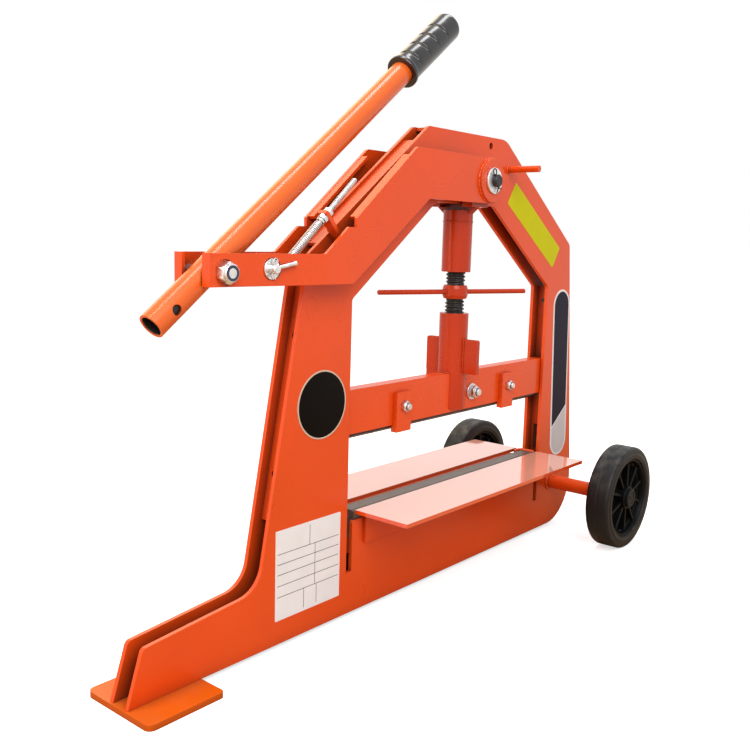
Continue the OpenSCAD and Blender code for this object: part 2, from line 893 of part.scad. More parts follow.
module lock_pin()
    color("silver") centred()
        difference() {
            union() {
                rod_y(lock_at, -lock_y - lock_tail, lock_y, lock_d);
                rod_y(lock_at, lock_y, lock_y + lock_head, lock_d * 1.6);
            }
            translate([lock_at[0], -lock_y - lock_split_in, lock_at[1] - lock_d])
                cylinder(d = lock_split_d, h = 2 * lock_d);
        }

module lock_washer()
    color("silver") centred()
        difference() {
            rod_y(lock_at, -lock_y - lock_washer_t, -lock_y, lock_washer_d);
            rod_y(lock_at, -lock_y - lock_washer_t - cut, cut - lock_y, lock_d);
        }

module lock_split_pin()
    color("silver") centred()
        translate([lock_at[0], -lock_y - lock_split_in, lock_at[1] - lock_d])
            cylinder(d = lock_split_d, h = lock_d * 1.75);

// Handle
module handle_tube()
    color("orangered") centred() along(bolt_at, tube_a)
        difference() {
            translate([-tube_down, 0, 0]) rotate([0, 90, 0]) cylinder(d = tube_d, h = tube_up + tube_down);
            translate([-tube_down - cut, 0, 0]) rotate([0, 90, 0])
                cylinder(d = tube_d - 2 * tube_wall, h = tube_up + tube_down + 2 * cut);
            translate([0, tube_d, 0]) rotate([90, 0, 0]) cylinder(d = bolt_d + 2 * fit, h = 2 * tube_d);
            translate([-lock_x, tube_d, 0]) rotate([90, 0, 0])
                cylinder(d = lock_d + lock_play, h = 2 * tube_d);
        }

module grip()
    color("black") centred() along(bolt_at, tube_a)
        translate([tube_up - grip_l + grip_cap, 0, 0]) rotate([0, 90, 0])
            difference() {
                rotate_extrude()
                    polygon(concat(
                        [
                            [0, 0],
                            [grip_d / 2 + grip_flange, 0],
                            [grip_d / 2 + grip_flange, grip_flange_t],
                            [grip_d / 2, grip_flange_t + grip_flange_taper]
                        ],
                        [for (a = [0:15:90]) [
                            grip_d / 2 - grip_dome + grip_dome * cos(a),
                            grip_l - grip_dome + grip_dome * sin(a)
                        ]],
                        [[0, grip_l]]
                    ));
                translate([0, 0, -cut]) cylinder(d = tube_d, h = grip_l - grip_cap + cut);
            }

// Return spring: one unbroken tube, with straight ends one wire diameter long
function coil_point(k) =
    let (t = k / rings, a = 360 * t)
    [coil_s0 + coil_l * t / curls, coil_r * cos(a), coil_r * sin(a)];
coil_n = curls * rings;
coil_mid = [for (k = [0:coil_n]) coil_point(k)];
coil_in = coil_mid[0] - wire_d * unit(coil_mid[1] - coil_mid[0]);
coil_out = coil_mid[coil_n] + wire_d * unit(coil_mid[coil_n] - coil_mid[coil_n - 1]);
coil_path = concat([coil_in], coil_mid, [coil_out]);
last = len(coil_path) - 1;
function heading(k) = unit(coil_path[min(k + 1, last)] - coil_path[max(k - 1, 0)]);
function ring(k) =
    let (
        d = heading(k),
        out = unit([0, coil_path[k][1], coil_path[k][2]]),
        u = unit(out - d * (out * d)),
        v = cross(d, u)
    )
    [for (j = [0:sides - 1])
        coil_path[k] + wire_d / 2 * (u * cos(360 * j / sides) + v * sin(360 * j / sides))];
near_curl = [for (i = [1:rings]) for (k = [rings - 2:rings + 2]) norm(coil_mid[i + k] - coil_mid[i])];
least_gap = min(near_curl) - wire_d;
echo(least_gap_between_curls = least_gap);

module return_spring()
    color("silver") centred() along(spring_at, spring_a, spring_y)
        polyhedron(
            points = [for (k = [0:last]) each ring(k)],
            faces = concat(
                [for (j = [1:sides - 2]) [0, j, j + 1]],
                [for (k = [0:last - 1]) for (j = [0:sides - 1]) each [
                    [k * sides + j, (k + 1) * sides + j, (k + 1) * sides + (j + 1) % sides],
                    [k * sides + j, (k + 1) * sides + (j + 1) % sides, k * sides + (j + 1) % sides]
                ]],
                [for (j = [1:sides - 2]) [last * sides, last * sides + j + 1, last * sides + j]]
            )
        );

module spring_peg()
    color("orangered") centred()
        difference() {
            union() {
                rod_y(spring_at, lever_t / 2 - half_at(spring_at[0]), spring_y + eye_t / 2, spring_peg_d);
                rod_y(spring_at, spring_y + eye_t / 2, spring_y + eye_t / 2 + spring_peg_head,
                    spring_peg_d + 2 * spring_peg_head);
            }
            mirror([0, 1, 0]) lever_blank();
        }

module spring_eye()
    color("silver") centred() along(spring_at, spring_a, spring_y)
        difference() {
            union() {
                rotate([90, 0, 0]) cylinder(d = eye_d, h = eye_t, center = true);
                rotate([0, 90, 0]) cylinder(d = shank_d, h = coil_s0 + shank_in);
                translate([coil_s0 - collar - wire_d, 0, 0]) rotate([0, 90, 0])
                    cylinder(d = spring_d, h = collar);
            }
            rotate([90, 0, 0]) cylinder(d = spring_peg_d, h = eye_t + spring_d, center = true);
        }

module spring_adjuster()
    color("silver") centred() along(spring_at, spring_a, spring_y) {
        translate([coil_s1 - shank_in, 0, 0]) rotate([0, 90, 0])
            cylinder(d = shank_d, h = shank_in + 2 * wire_d);
        translate([coil_s1 + wire_d, 0, 0]) rotate([0, 90, 0]) cylinder(d = spring_d, h = collar);
        translate([coil_s1 + 2 * wire_d, 0, 0]) rotate([0, 90, 0])
            cylinder(d = adjuster_d, h = adjuster_end - coil_s1 - 2 * wire_d);
    }

module nut_along(s)
    translate([s, 0, 0]) rotate([0, 90, 0])
        difference() {
            cylinder(d = adjuster_d * 1.6 / cos(30), h = adjuster_nut, $fn = 6);
            translate([0, 0, -cut]) cylinder(d = adjuster_d, h = adjuster_nut + 2 * cut);
        }
module adjuster_nuts()
    color("silver") centred() along(spring_at, spring_a, spring_y) {
        nut_along(spring_span - lug_t / 2 - adjuster_nut);
        nut_along(spring_span + lug_t / 2);
    }

module spring_lug()
    color("orangered") centred() along(lug_at, spring_a, spring_y)
        difference() {
            translate([-lug_t / 2, -lug_w, -lug_h])
                cube([lug_t, lug_w - spring_y - plate_out, lug_h + lug_w]);
            translate([-lug_t, 0, 0]) rotate([0, 90, 0]) cylinder(d = adjuster_d, h = 2 * lug_t);
        }

// Wheels
module axle()
    color("orangered") centred() {
        rod_y([axle_mid, axle_z], -track / 2 + hub_half + axle_gap, track / 2 - hub_half - axle_gap, axle_d);
        rod_y([axle_mid, axle_z], -axle_end + cap_t, axle_end - cap_t, stub_d);
    }

module wheel_place(side)
    translate([axle_mid, side * track / 2, axle_z]) rotate([90 * side, 0, 0]) children();

module rim() {
    rotate_extrude()
        polygon([
            [stub_d / 2 + fit, -hub_half],
            [hub_r, -hub_half],
            [hub_r, -rim_web],
            [rim_r - rim_lip - rim_taper, -rim_web],
            [rim_r - rim_lip, -wheel_w / 2 + rim_lip],
            [rim_r, -wheel_w / 2 + rim_lip],
            [rim_r, wheel_w / 2 - rim_lip],
            [rim_r - rim_lip, wheel_w / 2 - rim_lip],
            [rim_r - rim_lip - rim_taper, rim_web],
            [hub_r, rim_web],
            [hub_r, hub_half],
            [stub_d / 2 + fit, hub_half]
        ]);
    for (k = [0:ribs - 1])
        rotate([0, 0, 360 * (k + 0.5) / ribs])
            translate([hub_r - rib_lap, -rib_w / 2, -rim_web - rib_h])
                cube([rim_r - rim_lip - hub_r + 2 * rib_lap, rib_w, 2 * (rim_web + rib_h)]);
}
module rim_left() color("black") centred() wheel_place(-1) rim();
module rim_right() color("black") centred() wheel_place(1) rim();

module tyre()
    rotate_extrude($fn = 96)
        polygon(concat(
            [[rim_r, -wheel_w / 2 + tyre_lip]],
            [for (a = [-90:15:0]) [
                wheel_d / 2 - tyre_edge + tyre_edge * cos(a),
                -wheel_w / 2 + tyre_edge + tyre_edge * sin(a)
            ]],
            [for (a = [0:15:90]) [
                wheel_d / 2 - tyre_edge + tyre_edge * cos(a),
                wheel_w / 2 - tyre_edge + tyre_edge * sin(a)
            ]],
            [[rim_r, wheel_w / 2 - tyre_lip]]
        ));
module tyre_left() color("darkslategray") centred() wheel_place(-1) tyre();
module tyre_right() color("darkslategray") centred() wheel_place(1) tyre();

module axle_caps()
    color("gray") centred() both()
        difference() {
            rod_y([axle_mid, axle_z], track / 2 + hub_half + cap_gap, axle_end, stub_d + 2 * cap_wall);
            rod_y([axle_mid, axle_z], track / 2, axle_end - cap_t, stub_d);
        }

side_plate_left();
side_plate_right();
front_web();
arm_web();
head_cap();
rear_arm_web();
rear_web();
guide_web();
base_strip();
foot_pad();
peg();
bed_bar();
lower_blade();
table_left();
table_right();
bearer_left();
bearer_right();
beam();
upper_blade();
clamp_left();
clamp_right();
clamp_bolts();
saddle_bolt();
jack_foot();
screw();
hub();
hand_rod();
jack_head();
lever_plate_left();
lever_plate_right();
eccentrics();
boss_discs();
pivot_pin();
pivot_washers();
pivot_split_pin();
nose_bolt();
nose_nut();
lock_pin();
lock_washer();
lock_split_pin();
handle_tube();
grip();
return_spring();
spring_peg();
spring_eye();
spring_adjuster();
adjuster_nuts();
spring_lug();
axle();
rim_left();
rim_right();
tyre_left();
tyre_right();
axle_caps();
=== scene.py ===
"""Looks of a hand-lever masonry block splitter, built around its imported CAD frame."""

import logging
import math
from dataclasses import dataclass, field
from enum import Enum
from typing import Callable, ClassVar, Iterable, Sequence

import bpy
from mathutils import Matrix, Vector

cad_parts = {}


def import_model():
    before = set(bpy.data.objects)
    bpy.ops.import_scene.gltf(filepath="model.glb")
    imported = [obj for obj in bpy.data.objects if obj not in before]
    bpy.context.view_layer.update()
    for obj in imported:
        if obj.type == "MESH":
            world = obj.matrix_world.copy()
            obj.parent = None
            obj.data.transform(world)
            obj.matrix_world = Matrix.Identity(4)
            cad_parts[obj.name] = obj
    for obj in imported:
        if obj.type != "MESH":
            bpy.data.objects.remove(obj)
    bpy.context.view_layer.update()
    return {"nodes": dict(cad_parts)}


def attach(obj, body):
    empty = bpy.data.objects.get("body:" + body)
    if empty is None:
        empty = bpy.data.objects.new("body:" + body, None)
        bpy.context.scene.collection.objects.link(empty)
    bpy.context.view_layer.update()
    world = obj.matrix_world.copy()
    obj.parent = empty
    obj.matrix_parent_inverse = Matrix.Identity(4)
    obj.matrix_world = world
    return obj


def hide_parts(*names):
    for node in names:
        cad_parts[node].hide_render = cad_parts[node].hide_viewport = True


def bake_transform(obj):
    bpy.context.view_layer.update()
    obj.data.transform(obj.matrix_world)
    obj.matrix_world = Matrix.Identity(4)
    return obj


LOG = logging.getLogger("block_splitter")
MM = 0.001

# Shared places in millimetres, from the foot tip, the middle plane and the ground
X_MID = 538.75
JACK_X = 656.5
AXLE = (985.0, 95.5)
NOSE_BOLT = (131.0, 518.0)
PLATE_OUT = 18.0
UP = Vector((0, 0, 1))

# Socket types of the node groups
NUMBER = "NodeSocketFloat"
ARROW = "NodeSocketVector"

Colour = tuple[float, float, float]
Node = bpy.types.Node
Socket = bpy.types.NodeSocket


class Side(Enum):
    """The two sides of the machine, as the sign of Y."""

    LEFT = -1
    RIGHT = 1

    @property
    def axis(self) -> Vector:
        """Gives the direction out of the machine on this side."""
        return Vector((0, self.value, 0))


def row(x: float, y: float, z: float) -> Vector:
    """Turns millimetres from the foot tip into metres in the shared frame.

    Args:
        x: Distance from the foot tip towards the wheels.
        y: Distance to the right of the middle plane.
        z: Height above the ground.

    Returns:
        The point in the shared frame.
    """
    return Vector(((x - X_MID) * MM, y * MM, z * MM))


def facing(origin: Vector, axis: Vector, up: Vector = UP) -> Matrix:
    """Places local Z along an axis.

    Args:
        origin: Where the local origin goes.
        axis: The direction that local Z takes.
        up: The direction that local Y leans to.

    Returns:
        The placing matrix.
    """
    z = axis.normalized()
    x = up.cross(z)
    if x.length < 1e-6:
        x = Vector((1, 0, 0))
    x.normalize()
    y = z.cross(x)
    turn = Matrix((x, y, z)).transposed().to_4x4()
    return Matrix.Translation(origin) @ turn


@dataclass
class Shell:
    """Vertices and faces of a mesh that is being put together, in metres."""

    verts: list[Vector] = field(default_factory=list)
    faces: list[tuple[int, ...]] = field(default_factory=list)

    def add(self, other: "Shell") -> "Shell":
        """Joins another shell to this one.

        Args:
            other: The shell to take in.

        Returns:
            This shell.
        """
        base = len(self.verts)
        self.verts.extend(other.verts)
        self.faces.extend(tuple(i + base for i in face) for face in other.faces)
        return self

    def moved(self, matrix: Matrix) -> "Shell":
        """Gives a placed copy.

        Args:
            matrix: The placing matrix.

        Returns:
            The copy.
        """
        return Shell([matrix @ v for v in self.verts], list(self.faces))

    def skin(self, rows: int, columns: int, ring: bool = False) -> "Shell":
        """Lays faces over rings of points that were put in one after the other.

        Args:
            rows: Number of rings.
            columns: Number of points in each ring.
            ring: Whether the last ring joins the first. Otherwise both ends are capped.

        Returns:
            This shell.
        """
        for r in range(rows if ring else rows - 1):
            low, high = r * columns, (r + 1) % rows * columns
            for c in range(columns):
                after = (c + 1) % columns
                self.faces.append((low + c, low + after, high + after, high + c))
        if not ring:
            self.faces.append(tuple(range(columns))[::-1])
            self.faces.append(tuple(range((rows - 1) * columns, rows * columns)))
        return self


def circle(steps: int) -> list[float]:
    """Lists the angles of a full turn, in radians, with its first angle again at its end."""
    return [2 * math.pi * k / steps for k in range(steps + 1)]


def polar(rings: Sequence[float], radius: Callable[[float, float], float], segments: int) -> Shell:
    """Builds a capped body whose radius depends on the angle and the height.

    Args:
        rings: The heights of its rings, in millimetres.
        radius: Gives the radius in millimetres from an angle in radians and a height.
        segments: Number of points in each ring.

    Returns:
        The body along local Z.
    """
    shell = Shell()
    for height in rings:
        for a in circle(segments)[:-1]:
            r = radius(a, height)
            shell.verts.append(Vector((r * math.cos(a), r * math.sin(a), height)) * MM)
    return shell.skin(len(rings), segments)


def lathe(profile: Sequence[tuple[float, float]], segments: int = 64, ring: bool = False) -> Shell:
    """Turns a profile round local Z.

    Args:
        profile: Radius and height of each point, in millimetres.
        segments: Number of points round.
        ring: Whether the profile closes on itself.

    Returns:
        The turned body.
    """
    shell = Shell()
    for r, height in profile:
        for a in circle(segments)[:-1]:
            shell.verts.append(Vector((r * math.cos(a), r * math.sin(a), height)) * MM)
    return shell.skin(len(profile), segments, ring)


def sweep(path: Sequence[Vector], radius: float, sides: int = 12,
          swell: Callable[[int], float] | None = None) -> Shell:
    """Runs a round tube along a path.

    Args:
        path: The points of its middle line, in metres.
        radius: Its radius, in millimetres.
        sides: Number of points round.
        swell: Gives a factor on the radius for each point.

    Returns:
        The capped tube.
    """
    shell = Shell()
    normal = UP.copy()
    for k, point in enumerate(path):
        heading = (path[min(k + 1, len(path) - 1)] - path[max(k - 1, 0)]).normalized()
        normal = normal - heading * normal.dot(heading)
        if normal.length < 1e-4:
            normal = heading.orthogonal()
        normal.normalize()
        other = heading.cross(normal)
        r = radius * MM * (swell(k) if swell else 1.0)
        for a in circle(sides)[:-1]:
            shell.verts.append(point + (normal * math.cos(a) + other * math.sin(a)) * r)
    return shell.skin(len(path), sides)


def slab(outline: Sequence[tuple[float, float]], low: float, high: float, bevel: float = 0.0) -> Shell:
    """Builds a flat plate from an outline, with an optional small bevel on its upper edge.

    Args:
        outline: Points in local X and Y, in millimetres, in order.
        low: Height of its lower face.
        high: Height of its upper face.
        bevel: Width of the bevel.

    Returns:
        The plate along local Z.
    """
    n = len(outline)
    middle = Vector((sum(p[0] for p in outline) / n, sum(p[1] for p in outline) / n, 0))
    inner = []
    for k, p in enumerate(outline):
        before, after = Vector(outline[k - 1]), Vector(outline[(k + 1) % n])
        along = (after - before).normalized()
        inward = Vector((-along.y, along.x))
        if inward.dot(middle.to_2d() - Vector(p)) < 0:
            inward = -inward
        inner.append(Vector(p) + inward * bevel)
    shell = Shell()
    for points, height in ((outline, low), (outline, high - bevel), (inner, high)):
        shell.verts.extend(Vector((p[0], p[1], height)) * MM for p in points)
    return shell.skin(3, n)


def rounded_box(width: float, height: float, radius: float, steps: int = 8) -> list[tuple[float, float]]:
    """Outlines a rectangle with round corners about the origin.

    Args:
        width: Its size in X.
        height: Its size in Y.
        radius: Radius of its corners.
        steps: Number of steps in each corner.

    Returns:
        The outline, anticlockwise.
    """
    points = []
    for sx, sy, start in ((1, 1, 0), (-1, 1, 90), (-1, -1, 180), (1, -1, 270)):
        cx, cy = sx * (width / 2 - radius), sy * (height / 2 - radius)
        for k in range(steps + 1):
            a = math.radians(start + 90 * k / steps)
            points.append((cx + radius * math.cos(a), cy + radius * math.sin(a)))
    return points


class Graph:
    """Short ways to make and link shader nodes in a tree."""

    def __init__(self, tree: bpy.types.NodeTree) -> None:
        """Keeps the tree."""
        self.tree = tree

    def node(self, kind: str, **values: object) -> Node:
        """Makes a node and sets its own properties.

        Args:
            kind: The node's type name.
            values: Properties to set on it.

        Returns:
            The node.
        """
        made = self.tree.nodes.new(kind)
        for name, value in values.items():
            setattr(made, name, value)
        return made

    def feed(self, socket: Socket, value: object) -> None:
        """Links a socket to another, or sets its number or colour.

        Args:
            socket: The input.
            value: An output socket, a number or a colour.
        """
        if isinstance(value, Socket):
            self.tree.links.new(value, socket)
        elif isinstance(value, tuple) and len(value) == 3 and socket.type == "RGBA":
            socket.default_value = (*value, 1.0)
        else:
            socket.default_value = value

    def math(self, operation: str, a: object, b: object = 0.0, clamp: bool = False) -> Socket:
        """Makes a math node.

        Args:
            operation: Its operation.
            a: Its first value.
            b: Its second value.
            clamp: Whether the result is kept from 0 to 1.

        Returns:
            Its result.
        """
        made = self.node("ShaderNodeMath", operation=operation, use_clamp=clamp)
        self.feed(made.inputs[0], a)
        self.feed(made.inputs[1], b)
        return made.outputs[0]

    def mix(self, factor: object, a: object, b: object) -> Socket:
        """Mixes two colours.

        Args:
            factor: How much of the second.
            a: The first colour.
            b: The second colour.

        Returns:
            The mixed colour.
        """
        made = self.node("ShaderNodeMix", data_type="RGBA")
        self.feed(made.inputs[0], factor)
        self.feed(made.inputs[6], a)
        self.feed(made.inputs[7], b)
        return made.outputs[2]

    def spread(self, value: Socket, low: float, high: float,
               to_low: float = 0.0, to_high: float = 1.0) -> Socket:
        """Maps a range of values onto another.

        Args:
            value: The value.
            low: Start of its range.
            high: End of its range.
            to_low: What the start becomes.
            to_high: What the end becomes.

        Returns:
            The mapped value.
        """
        made = self.node("ShaderNodeMapRange", clamp=True)
        for index, number in enumerate((value, low, high, to_low, to_high)):
            self.feed(made.inputs[index], number)
        return made.outputs[0]

    def noise(self, scale: object, detail: float = 3.0, stretch: Colour = (1.0, 1.0, 1.0)) -> Socket:
        """Makes noise in the piece's own coordinates.

        Args:
            scale: Its scale, per metre.
            detail: Its detail.
            stretch: Factors on the three axes.

        Returns:
            Its value.
        """
        place = self.node("ShaderNodeTexCoord")
        mapping = self.node("ShaderNodeMapping")
        self.feed(mapping.inputs["Vector"], place.outputs["Object"])
        mapping.inputs["Scale"].default_value = stretch
        made = self.node("ShaderNodeTexNoise")
        self.feed(made.inputs["Vector"], mapping.outputs[0])
        self.feed(made.inputs["Scale"], scale)
        made.inputs["Detail"].default_value = detail
        return made.outputs[0]


class Effects:
    """The shader node groups that several finishes share, each built once."""

    _made: dict[str, bpy.types.NodeTree] = {}

    @classmethod
    def _start(cls, name: str, inputs: Sequence[tuple[str, float]],
               outputs: Sequence[tuple[str, str]]) -> tuple[Graph, Node, Node]:
        """Starts a group with its named sockets.

        Args:
            name: The group's name.
            inputs: Name and first value of each number that it takes.
            outputs: Name and socket type of each output.

        Returns:
            The graph, its input node and its output node.
        """
        tree = bpy.data.node_groups.new(name, "ShaderNodeTree")
        for socket, value in inputs:
            made = tree.interface.new_socket(socket, in_out="INPUT", socket_type=NUMBER)
            made.default_value = value
        for socket, kind in outputs:
            tree.interface.new_socket(socket, in_out="OUTPUT", socket_type=kind)
        cls._made[name] = tree
        graph = Graph(tree)
        return graph, graph.node("NodeGroupInput"), graph.node("NodeGroupOutput")

    @classmethod
    def place(cls, graph: Graph, name: str, **values: float) -> Node:
        """Puts a group into a material.

        Args:
            graph: The material's graph.
            name: The group's name.
            values: Numbers for its inputs.

        Returns:
            The group node.
        """
        if name not in cls._made:
            getattr(cls, "_" + name)()
        made = graph.node("ShaderNodeGroup", node_tree=cls._made[name])
        for socket, value in values.items():
            made.inputs[socket.capitalize()].default_value = value
        return made

    @classmethod
    def _edges(cls) -> None:
        """Builds the group that finds a piece's edges and softens their shading."""
        graph, start, end = cls._start(
            "edges", (("Radius", 0.001), ("Scale", 120.0), ("Amount", 0.5)),
            (("Mask", NUMBER), ("Chips", NUMBER), ("Normal", ARROW)))
        bevel = graph.node("ShaderNodeBevel", samples=4)
        graph.feed(bevel.inputs["Radius"], start.outputs["Radius"])
        shape = graph.node("ShaderNodeNewGeometry")
        dot = graph.node("ShaderNodeVectorMath", operation="DOT_PRODUCT")
        graph.feed(dot.inputs[0], bevel.outputs[0])
        graph.feed(dot.inputs[1], shape.outputs["Normal"])
        edge = graph.spread(dot.outputs["Value"], 0.995, 0.80)
        grain = graph.spread(graph.noise(start.outputs["Scale"], 4.0), 0.5, 0.62)
        graph.feed(end.inputs["Mask"], edge)
        chips = graph.math("MULTIPLY", edge, grain)
        graph.feed(end.inputs["Chips"], graph.math("MULTIPLY", chips, start.outputs["Amount"], clamp=True))
        graph.feed(end.inputs["Normal"], bevel.outputs[0])

    @classmethod
    def _mottle(cls) -> None:
        """Builds the group for broad unevenness and fine skin texture."""
        graph, start, end = cls._start(
            "mottle", (("Broad", 9.0), ("Fine", 700.0)),
            (("Shade", NUMBER), ("Skin", NUMBER)))
        graph.feed(end.inputs["Shade"], graph.spread(graph.noise(start.outputs["Broad"], 4.0), 0.3, 0.7))
        graph.feed(end.inputs["Skin"], graph.noise(start.outputs["Fine"], 1.0))

    @classmethod
    def _dust(cls) -> None:
        """Builds the group for pale dust that settles on faces that look up, and for the facing-up mask that
        the painted top sheen uses.
        """
        graph, start, end = cls._start(
            "dust", (("Scale", 30.0), ("Amount", 0.2)), (("Mask", NUMBER), ("Up", NUMBER)))
        shape = graph.node("ShaderNodeNewGeometry")
        parts = graph.node("ShaderNodeSeparateXYZ")
        graph.feed(parts.inputs[0], shape.outputs["Normal"])
        up = graph.spread(parts.outputs["Z"], 0.2, 0.95)
        patches = graph.spread(graph.noise(start.outputs["Scale"], 6.0), 0.42, 0.72)
        settled = graph.math("MULTIPLY", up, patches)
        graph.feed(end.inputs["Up"], up)
        graph.feed(end.inputs["Mask"], graph.math("MULTIPLY", settled, start.outputs["Amount"], clamp=True))

    @classmethod
    def _scuffs(cls) -> None:
        """Builds the group for long thin rubbing marks."""
        graph, start, end = cls._start(
            "scuffs", (("Scale", 14.0), ("Amount", 0.3)), (("Mask", NUMBER),))
        long_marks = graph.spread(graph.noise(start.outputs["Scale"], 5.0, (1.2, 14.0, 14.0)), 0.6, 0.7)
        cross_marks = graph.spread(graph.noise(start.outputs["Scale"], 5.0, (12.0, 1.4, 9.0)), 0.62, 0.72)
        both = graph.math("MAXIMUM", long_marks, cross_marks)
        graph.feed(end.inputs["Mask"], graph.math("MULTIPLY", both, start.outputs["Amount"], clamp=True))

    @classmethod
    def _recess_shade(cls) -> None:
        """Builds the group that finds deep recesses, where little light comes in, and gives the mask of the
        painted shade that darkens them.
        """
        graph, start, end = cls._start(
            "recess_shade", (("Distance", 0.05), ("Amount", 0.8)), (("Mask", NUMBER),))
        hidden = graph.node("ShaderNodeAmbientOcclusion", samples=6)
        graph.feed(hidden.inputs["Distance"], start.outputs["Distance"])
        # Painted shade: the less open sky a point sees, the darker it is painted.
        deep = graph.spread(hidden.outputs["AO"], 0.66, 0.2)
        graph.feed(end.inputs["Mask"], graph.math("MULTIPLY", deep, start.outputs["Amount"], clamp=True))


@dataclass(frozen=True)
class Finish:
    """A surface finish that makes one material."""

    name: str
    colour: Colour
    roughness: float = 0.4

    def dress(self, graph: Graph, shader: Node) -> None:
        """Sets the shader's inputs, which each kind of finish does in its own way.

        Args:
            graph: The material's graph.
            shader: Its Principled shader.
        """
        raise NotImplementedError

    def shaded(self, factor: float) -> Colour:
        """Gives the colour times a factor."""
        return tuple(factor * c for c in self.colour)

    def roughen(self, graph: Graph, shader: Node, shade: Socket, low: float, high: float) -> None:
        """Lets the roughness vary with the unevenness.

        Args:
            graph: The material's graph.
            shader: Its Principled shader.
            shade: The unevenness, from 0 to 1.
            low: What the roughness gains at 0.
            high: What it gains at 1.
        """
        varied = graph.spread(shade, 0.0, 1.0, self.roughness + low, self.roughness + high)
        graph.feed(shader.inputs["Roughness"], varied)

    def material(self) -> bpy.types.Material:
        """Gives the material, making it the first time.

        Returns:
            The material.
        """
        found = bpy.data.materials.get(self.name)
        if found:
            return found
        made = bpy.data.materials.new(self.name)
        made.use_nodes = True
        shader = next(n for n in made.node_tree.nodes if n.type == "BSDF_PRINCIPLED")
        self.dress(Graph(made.node_tree), shader)
        return made


def bump(graph: Graph, height: Socket, strength: float, distance: float,
         normal: Socket | None = None) -> Socket:
    """Makes a bump node.

    Args:
        graph: The material's graph.
        height: The height.
        strength: Its strength.
        distance: Its depth in metres.
        normal: The normal that it starts from.

    Returns:
        The bumped normal.
    """
    made = graph.node("ShaderNodeBump")
    graph.feed(made.inputs["Height"], height)
    made.inputs["Strength"].default_value = strength
    made.inputs["Distance"].default_value = distance
    if normal is not None:
        graph.feed(made.inputs["Normal"], normal)
    return made.outputs[0]


@dataclass(frozen=True)
class GlossPaint(Finish):
    """Thick gloss paint on steel plate, with orange-peel skin, softened edges with a painted highlight,
    chips, an optional painted sheen on faces that look up, and painted shade in deep recesses.
    """

    chips: float = 0.18
    scuffs: float = 0.04
    dust: float = 0.05
    # Strength of the painted shade that darkens deep recesses towards near black.
    recess_shade: float = 0.9
    shine: float = 0.3
    coat: float = 0.0
    coat_roughness: float = 0.05
    coat_ior: float = 1.8
    # Strength of a painted sheen that pales faces that look up.
    painted_top_sheen: float = 0.0
    # Strength of the painted highlight that lightens edges.
    edge_light: float = 0.6
    primer: Colour = (0.13, 0.05, 0.035)
    rubbed: Colour = (0.8, 0.16, 0.06)
    dust_colour: Colour = (0.62, 0.4, 0.3)
    # Colour of that painted shade in deep recesses.
    recess_shade_colour: Colour = (0.03, 0.01, 0.006)
    # Colour of that painted sheen.
    painted_top_sheen_colour: Colour = (0.8, 0.4, 0.3)

    def dress(self, graph: Graph, shader: Node) -> None:
        """Sets the shader's inputs.

        Args:
            graph: The material's graph.
            shader: Its Principled shader.
        """
        mottle = Effects.place(graph, "mottle", broad=7.0, fine=520.0)
        edges = Effects.place(graph, "edges", radius=0.0011, scale=90.0, amount=self.chips)
        scuffs = Effects.place(graph, "scuffs", scale=12.0, amount=self.scuffs)
        dust = Effects.place(graph, "dust", scale=26.0, amount=self.dust)
        recess_shade = Effects.place(graph, "recess_shade", distance=0.05, amount=self.recess_shade)
        deep = self.shaded(0.9)
        # Painted highlight: edges are lightened, standing in for the gloss catching light there.
        lit = tuple(min(1.0, 1.1 * c + 0.02) for c in self.colour)
        colour = graph.mix(mottle.outputs["Shade"], deep, self.colour)
        colour = graph.mix(graph.math("MULTIPLY", edges.outputs["Mask"], self.edge_light), colour, lit)
        # Painted sheen: faces that look up are paled, standing in for the white reflected on them.
        colour = graph.mix(graph.math("MULTIPLY", dust.outputs["Up"], self.painted_top_sheen), colour, self.painted_top_sheen_colour)
        colour = graph.mix(scuffs.outputs["Mask"], colour, self.rubbed)
        colour = graph.mix(dust.outputs["Mask"], colour, self.dust_colour)
        colour = graph.mix(edges.outputs["Chips"], colour, self.primer)
        # Painted shade: deep recesses darken by the ambient-occlusion mask.
        colour = graph.mix(recess_shade.outputs["Mask"], colour, self.recess_shade_colour)
        graph.feed(shader.inputs["Base Color"], colour)
        rough = graph.spread(mottle.outputs["Shade"], 0.0, 1.0, self.roughness - 0.04, self.roughness + 0.04)
        rough = graph.math("ADD", rough, graph.math("MULTIPLY", scuffs.outputs["Mask"], 0.3))
        rough = graph.math("ADD", rough, graph.math("MULTIPLY", dust.outputs["Mask"], 0.5), clamp=True)
        graph.feed(shader.inputs["Roughness"], rough)
        shader.inputs["Specular IOR Level"].default_value = self.shine
        shader.inputs["Coat Weight"].default_value = self.coat
        shader.inputs["Coat Roughness"].default_value = self.coat_roughness
        shader.inputs["Coat IOR"].default_value = self.coat_ior
        graph.feed(shader.inputs["Normal"],
                   bump(graph, mottle.outputs["Skin"], 0.05, 0.0004, edges.outputs["Normal"]))


@dataclass(frozen=True)
class Printed(Finish):
    """A flat printed sticker with a slightly uneven sheen."""

    shine: float = 0.2

    def dress(self, graph: Graph, shader: Node) -> None:
        """Sets the shader's inputs.

        Args:
            graph: The material's graph.
            shader: Its Principled shader.
        """
        mottle = Effects.place(graph, "mottle", broad=40.0, fine=900.0)
        shade = mottle.outputs["Shade"]
        graph.feed(shader.inputs["Base Color"], graph.mix(shade, self.shaded(0.95), self.colour))
        self.roughen(graph, shader, shade, 0.0, 0.06)
        shader.inputs["Specular IOR Level"].default_value = self.shine


